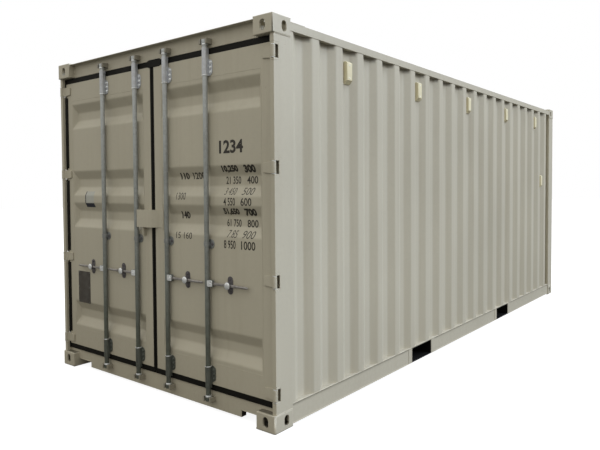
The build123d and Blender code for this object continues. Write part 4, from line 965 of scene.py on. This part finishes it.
def seal_lip(name, side):
    """Outer lip of the door seal at the hinge edge: it bulges from the leaf to the post between the blades.

    The lip is a thin curved section carried up: X goes outward from the leaf's face, Y swells forward as
    sin(0.72 pi t) and falls back a little, so that it clears the post when the door is fully open.
    """
    t = np.linspace(0, 1, 7)
    start, end = SEAL_LIP_FROM[name], SEAL_EDGE - 0.0003
    gaps = [height + way * SEAL_LIP_GAP for height in HINGE_HEIGHTS for way in (-1, 1)]
    stops = [LEAF_Z[0], *gaps, LEAF_Z[1]]
    runs = []
    for low, high in zip(stops[::2], stops[1::2]):
        if high - low < 0.02:
            continue
        z = np.concatenate([np.linspace(low, low + 0.012, 5), np.linspace(high - 0.012, high, 5)])[:, None]
        ends = np.sqrt(np.clip(np.minimum(z - low, high - z) / 0.012, 0.02, 1))
        x = side * (start + (end - start) * t)
        y = LEAF_FACE - 0.0005 - SEAL_LIP_SWELL * ends * np.sin(0.72 * np.pi * t)
        runs.append(sheet(lambda under: (x, y + under, z), SEAL_LIP_THICK))
    surface(f"seal_lip_{name}", joined(*runs), f"{name}_door", "seal_rubber", "rubber",
            poles=False, degrees=60.0)


# Plates and markings on the leaves

INK_LIFT = 0.0006
CUT = 0.005
PLATE_PLACE = (-0.942, 0.697)
LABEL_X = (-0.898, -0.782)
LABEL_EDGE_X = (-0.908, -0.8985)
LABEL_Z = (1.376, 1.4095, 1.410, 1.507)

# Figures with their left and right edge, stroke weight and slant, by the low and high edge of their row
MARKINGS = {
    (1.758, 1.846): [("1234", 0.705, 0.925, 0.030)],
    (1.628, 1.680): [("10,250", 0.718, 0.866, 0.055), ("300", 0.920, 1.020, 0.055)],
    (1.556, 1.606): [("21 350", 0.735, 0.872, 0.012), ("400", 0.926, 1.022, 0.012)],
    (1.484, 1.531): [("3 450", 0.743, 0.850, -0.005, 0.25), ("500", 0.902, 1.008, -0.005, 0.25)],
    (1.413, 1.465): [("4 550", 0.742, 0.848, 0.012), ("600", 0.898, 0.994, 0.012)],
    (1.347, 1.397): [("51,650", 0.723, 0.868, 0.055), ("700", 0.918, 1.020, 0.055)],
    (1.273, 1.323): [("61 750", 0.740, 0.872, 0.012), ("800", 0.926, 1.022, 0.012)],
    (1.202, 1.251): [("7.85", 0.771, 0.864, -0.005, 0.25), ("900", 0.910, 1.018, -0.005, 0.25)],
    (1.128, 1.184): [("8 950", 0.742, 0.850, 0.012), ("1000", 0.900, 1.025, 0.012)],
    (1.592, 1.640): [("110", 0.280, 0.372, 0.045), ("1200", 0.412, 0.535, 0.020)],
    (1.449, 1.499): [("1300", 0.261, 0.359, -0.005)],
    (1.313, 1.366): [("140", 0.285, 0.372, 0.045)],
    (1.173, 1.219): [("15 160", 0.256, 0.423, 0.000)],
}


def cover_rivets():
    """Rivets that hold the padlock cover to the right-hand leaf."""
    places = [(0.104, LEAF_FACE - 0.004, z) for z in (1.262, 1.305, 1.348)]
    fastened("cover_rivets", RIVET, 10, AHEAD, places, "right_door", "door_paint", "door")


def corners(mesh):
    """The mesh's corners, one row each."""
    flat = np.empty(3 * len(mesh.vertices), np.float32)
    mesh.vertices.foreach_get("co", flat)
    return flat.reshape(-1, 3).astype(float)


def film(x_range, z_range, lift):
    """Thin film on a leaf's sheet: Y is the leaf's face plus the pans' depth, less its lift."""
    x, z = np.meshgrid(np.linspace(*x_range, 6), spread((*z_range, CUT)))
    y = LEAF_FACE + pan_depth(x, z)
    return sheet(lambda under: (x, y - lift + under, z), lift + SHEET / 2)


def numbers(low, high, text, left, right, weight, slant=0.0):
    """Plain figures as a flat mesh, fitted into a box on the right-hand leaf and laid over its pans.

    The outline's x and y are stretched to the box, the mesh is cut across every 5 mm so that it can bend,
    and each corner goes to y = pan face, less or plus a film's thickness.
    """
    curve = bpy.data.curves.new("figures", "FONT")
    curve.body = text
    curve.shear = slant
    curve.resolution_u = 3
    curve.extrude = 0.5
    curve.offset = weight
    flat = bpy.data.objects.new("figures", curve)
    mesh = bpy.data.meshes.new_from_object(flat)
    bpy.data.objects.remove(flat)
    outline = corners(mesh)
    lowest, highest = outline.min(0), outline.max(0)
    across, up, front = ((outline - lowest) / (highest - lowest)).T
    fitted = points_at(left + across * (right - left), front - 0.5, low + up * (high - low))
    mesh.vertices.foreach_set("co", fitted.ravel())
    with edited(mesh) as build:
        bmesh.ops.remove_doubles(build, verts=build.verts, dist=1e-6)
        for height in np.arange(low + CUT, high, CUT):
            bmesh.ops.bisect_plane(build, geom=[*build.verts, *build.edges, *build.faces], dist=1e-6,
                                   plane_co=(0, 0, height), plane_no=SKYWARD)
    bent = corners(mesh)
    film_side = np.where(bent[:, 1] > 0, -INK_LIFT, INK_LIFT)
    bent[:, 1] = LEAF_FACE + pan_depth(bent[:, 0], bent[:, 2]) + film_side
    mesh.vertices.foreach_set("co", bent.ravel())
    return mesh


def markings():
    """Rows of plain figures on the right-hand leaf."""
    figures = [numbers(*row, *figure) for row, members in MARKINGS.items() for figure in members]
    mesh = bpy.data.meshes.new("figures")
    with edited(mesh, *figures) as build:
        bmesh.ops.recalc_face_normals(build, faces=build.faces)
    place_piece("figures", mesh, "right_door", "ink")


def plates():
    """Bare dark plate with its rivets, and a plain label in two tones, on the left-hand leaf."""
    x, z = PLATE_PLACE
    thick = 0.0020
    plate = set_out(slab(0.175, 0.268, thick, 0.006), AHEAD, [(x, LEAF_FACE, z)])
    surface("blank_plate", plate, "left_door", "door_paint", "plate")
    rivets = [(x + across, LEAF_FACE - thick, z + up)
              for across in (-0.077, 0.077) for up in (-0.124, 0.0, 0.124)]
    fastened("plate_rivets", RIVET, 10, AHEAD, rivets, "left_door", "galvanised_steel", "bracket")
    low, seam, pale_low, high = LABEL_Z
    pale = film(LABEL_X, (pale_low, high), 0.0006)
    surface("label_pale", pale, "left_door", "door_paint", "label_pale", poles=False)
    dark = joined(film(LABEL_X, (low, seam), 0.0008), film(LABEL_EDGE_X, (low, high), 0.0008))
    surface("label_dark", dark, "left_door", "door_paint", "label_dark", poles=False)


# Camera, light and floor

SKY_LOW, SKY_HIGH = (1.0, 0.945, 0.83), (0.97, 0.985, 0.96)
SKY_STRENGTH = (0.56, 1.30)
LAMP_TOWARD = (0.80, 0.595, 0.95)
LAMP_COLOUR = (0.69, 0.80, 1.0)
LAMP_STRENGTH = 3.1
LAMP_ANGLE = 50.0
FLOOR_GLOW = 0.90
FLOOR_PALE, FLOOR_DULL = (0.30, 0.30, 0.30), (0.12, 0.115, 0.10)
FLOOR_CORNERS = [(-40, -40, -0.001), (40, -40, -0.001), (40, 60, -0.001), (-40, 60, -0.001)]


def camera():
    """Camera at the photograph's place, turned, tilted and shifted as fitted."""
    level = math.cos(CAMERA_PITCH)
    ahead = Vector((math.sin(CAMERA_YAW) * level, math.cos(CAMERA_YAW) * level, math.sin(CAMERA_PITCH)))
    level_right = ahead.cross(Vector(SKYWARD)).normalized()
    level_up = level_right.cross(ahead)
    cosine, sine = math.cos(CAMERA_ROLL), math.sin(CAMERA_ROLL)
    right = cosine * level_right + sine * level_up
    up = -sine * level_right + cosine * level_up
    data = bpy.data.cameras.new("camera")
    data.sensor_width = SENSOR
    data.lens = FOCAL_PIXELS / PICTURE_WIDTH * SENSOR
    data.shift_x = SHIFT_PIXELS[0] / PICTURE_WIDTH
    data.shift_y = SHIFT_PIXELS[1] / PICTURE_WIDTH
    data.clip_end = 200.0
    view = linked("camera", data)
    turn = Matrix((right, up, -ahead)).transposed().to_4x4()
    view.matrix_world = Matrix.Translation(CAMERA_PLACE) @ turn
    bpy.context.scene.camera = view


def light():
    """Pale sky that is plain white to the eye, and one broad soft lamp from the far right."""
    world = bpy.data.worlds.new("studio")
    bpy.context.scene.world = world
    world.use_nodes = True
    g = Graph(world.node_tree)
    world.node_tree.nodes.clear()
    seen = g.add("ShaderNodeBackground", {"Color": (1, 1, 1, 1), "Strength": 1.0})
    around = g.add("ShaderNodeTexCoord").outputs["Generated"]
    height = g.add("ShaderNodeSeparateXYZ", {"Vector": around}).outputs["Z"]
    colour = g.mix(g.remap(height, 0.0, 0.8), rgba(SKY_LOW), rgba(SKY_HIGH))
    strength = g.remap(height, 0.0, 1.0, *SKY_STRENGTH)
    sky = g.add("ShaderNodeBackground", {"Color": colour, "Strength": strength})
    g.close(sky, seen, "ShaderNodeOutputWorld")
    sun = bpy.data.lights.new("soft_lamp", "SUN")
    sun.energy = LAMP_STRENGTH
    sun.color = LAMP_COLOUR
    sun.angle = math.radians(LAMP_ANGLE)
    turn = Vector(LAMP_TOWARD).to_track_quat("Z", "Y").to_matrix().to_4x4()
    linked("soft_lamp", sun).matrix_world = turn
    bpy.context.scene.view_settings.view_transform = "Standard"


def floor():
    """Plain pale floor: bright to the eye, and dull to the light that it throws back."""
    mesh = bpy.data.meshes.new("floor")
    mesh.from_pydata(FLOOR_CORNERS, [], [(0, 1, 2, 3)])
    ground = linked("floor", mesh)
    material = bpy.data.materials.new("floor")
    material.use_nodes = True
    g = Graph(material.node_tree)
    material.node_tree.nodes.clear()
    pale = g.add("ShaderNodeBsdfDiffuse", {"Color": rgba(FLOOR_PALE)})
    glow = g.add("ShaderNodeEmission", {"Color": rgba((1, 1, 1)), "Strength": FLOOR_GLOW})
    seen = g.add("ShaderNodeAddShader", {0: pale.outputs[0], 1: glow.outputs[0]})
    dull = g.add("ShaderNodeBsdfDiffuse", {"Color": rgba(FLOOR_DULL)})
    g.close(dull, seen, "ShaderNodeOutputMaterial")
    mesh.materials.append(material)


for door, way in SIDES.items():
    side_sheet(door, way)
    leaf_sheet(door, way)
    leaf_fasteners(door, way)
    leaf_welds(door, way)
    lock_rings(door, way)
    seal_lip(door, way)
    for bar_place in BARS:
        handle(door, bar_place, way)
front_sheet()
roof_sheet()
for finished in ROUNDED:
    rounded(*finished)
keep_nodes()
frame_welds()
sill_ends()
rail_lips()
fork_cheeks()
vent_screws()
floor_screws()
lashing_rings()
seal_wedge()
cover_rivets()
plates()
markings()
camera()
light()
floor()
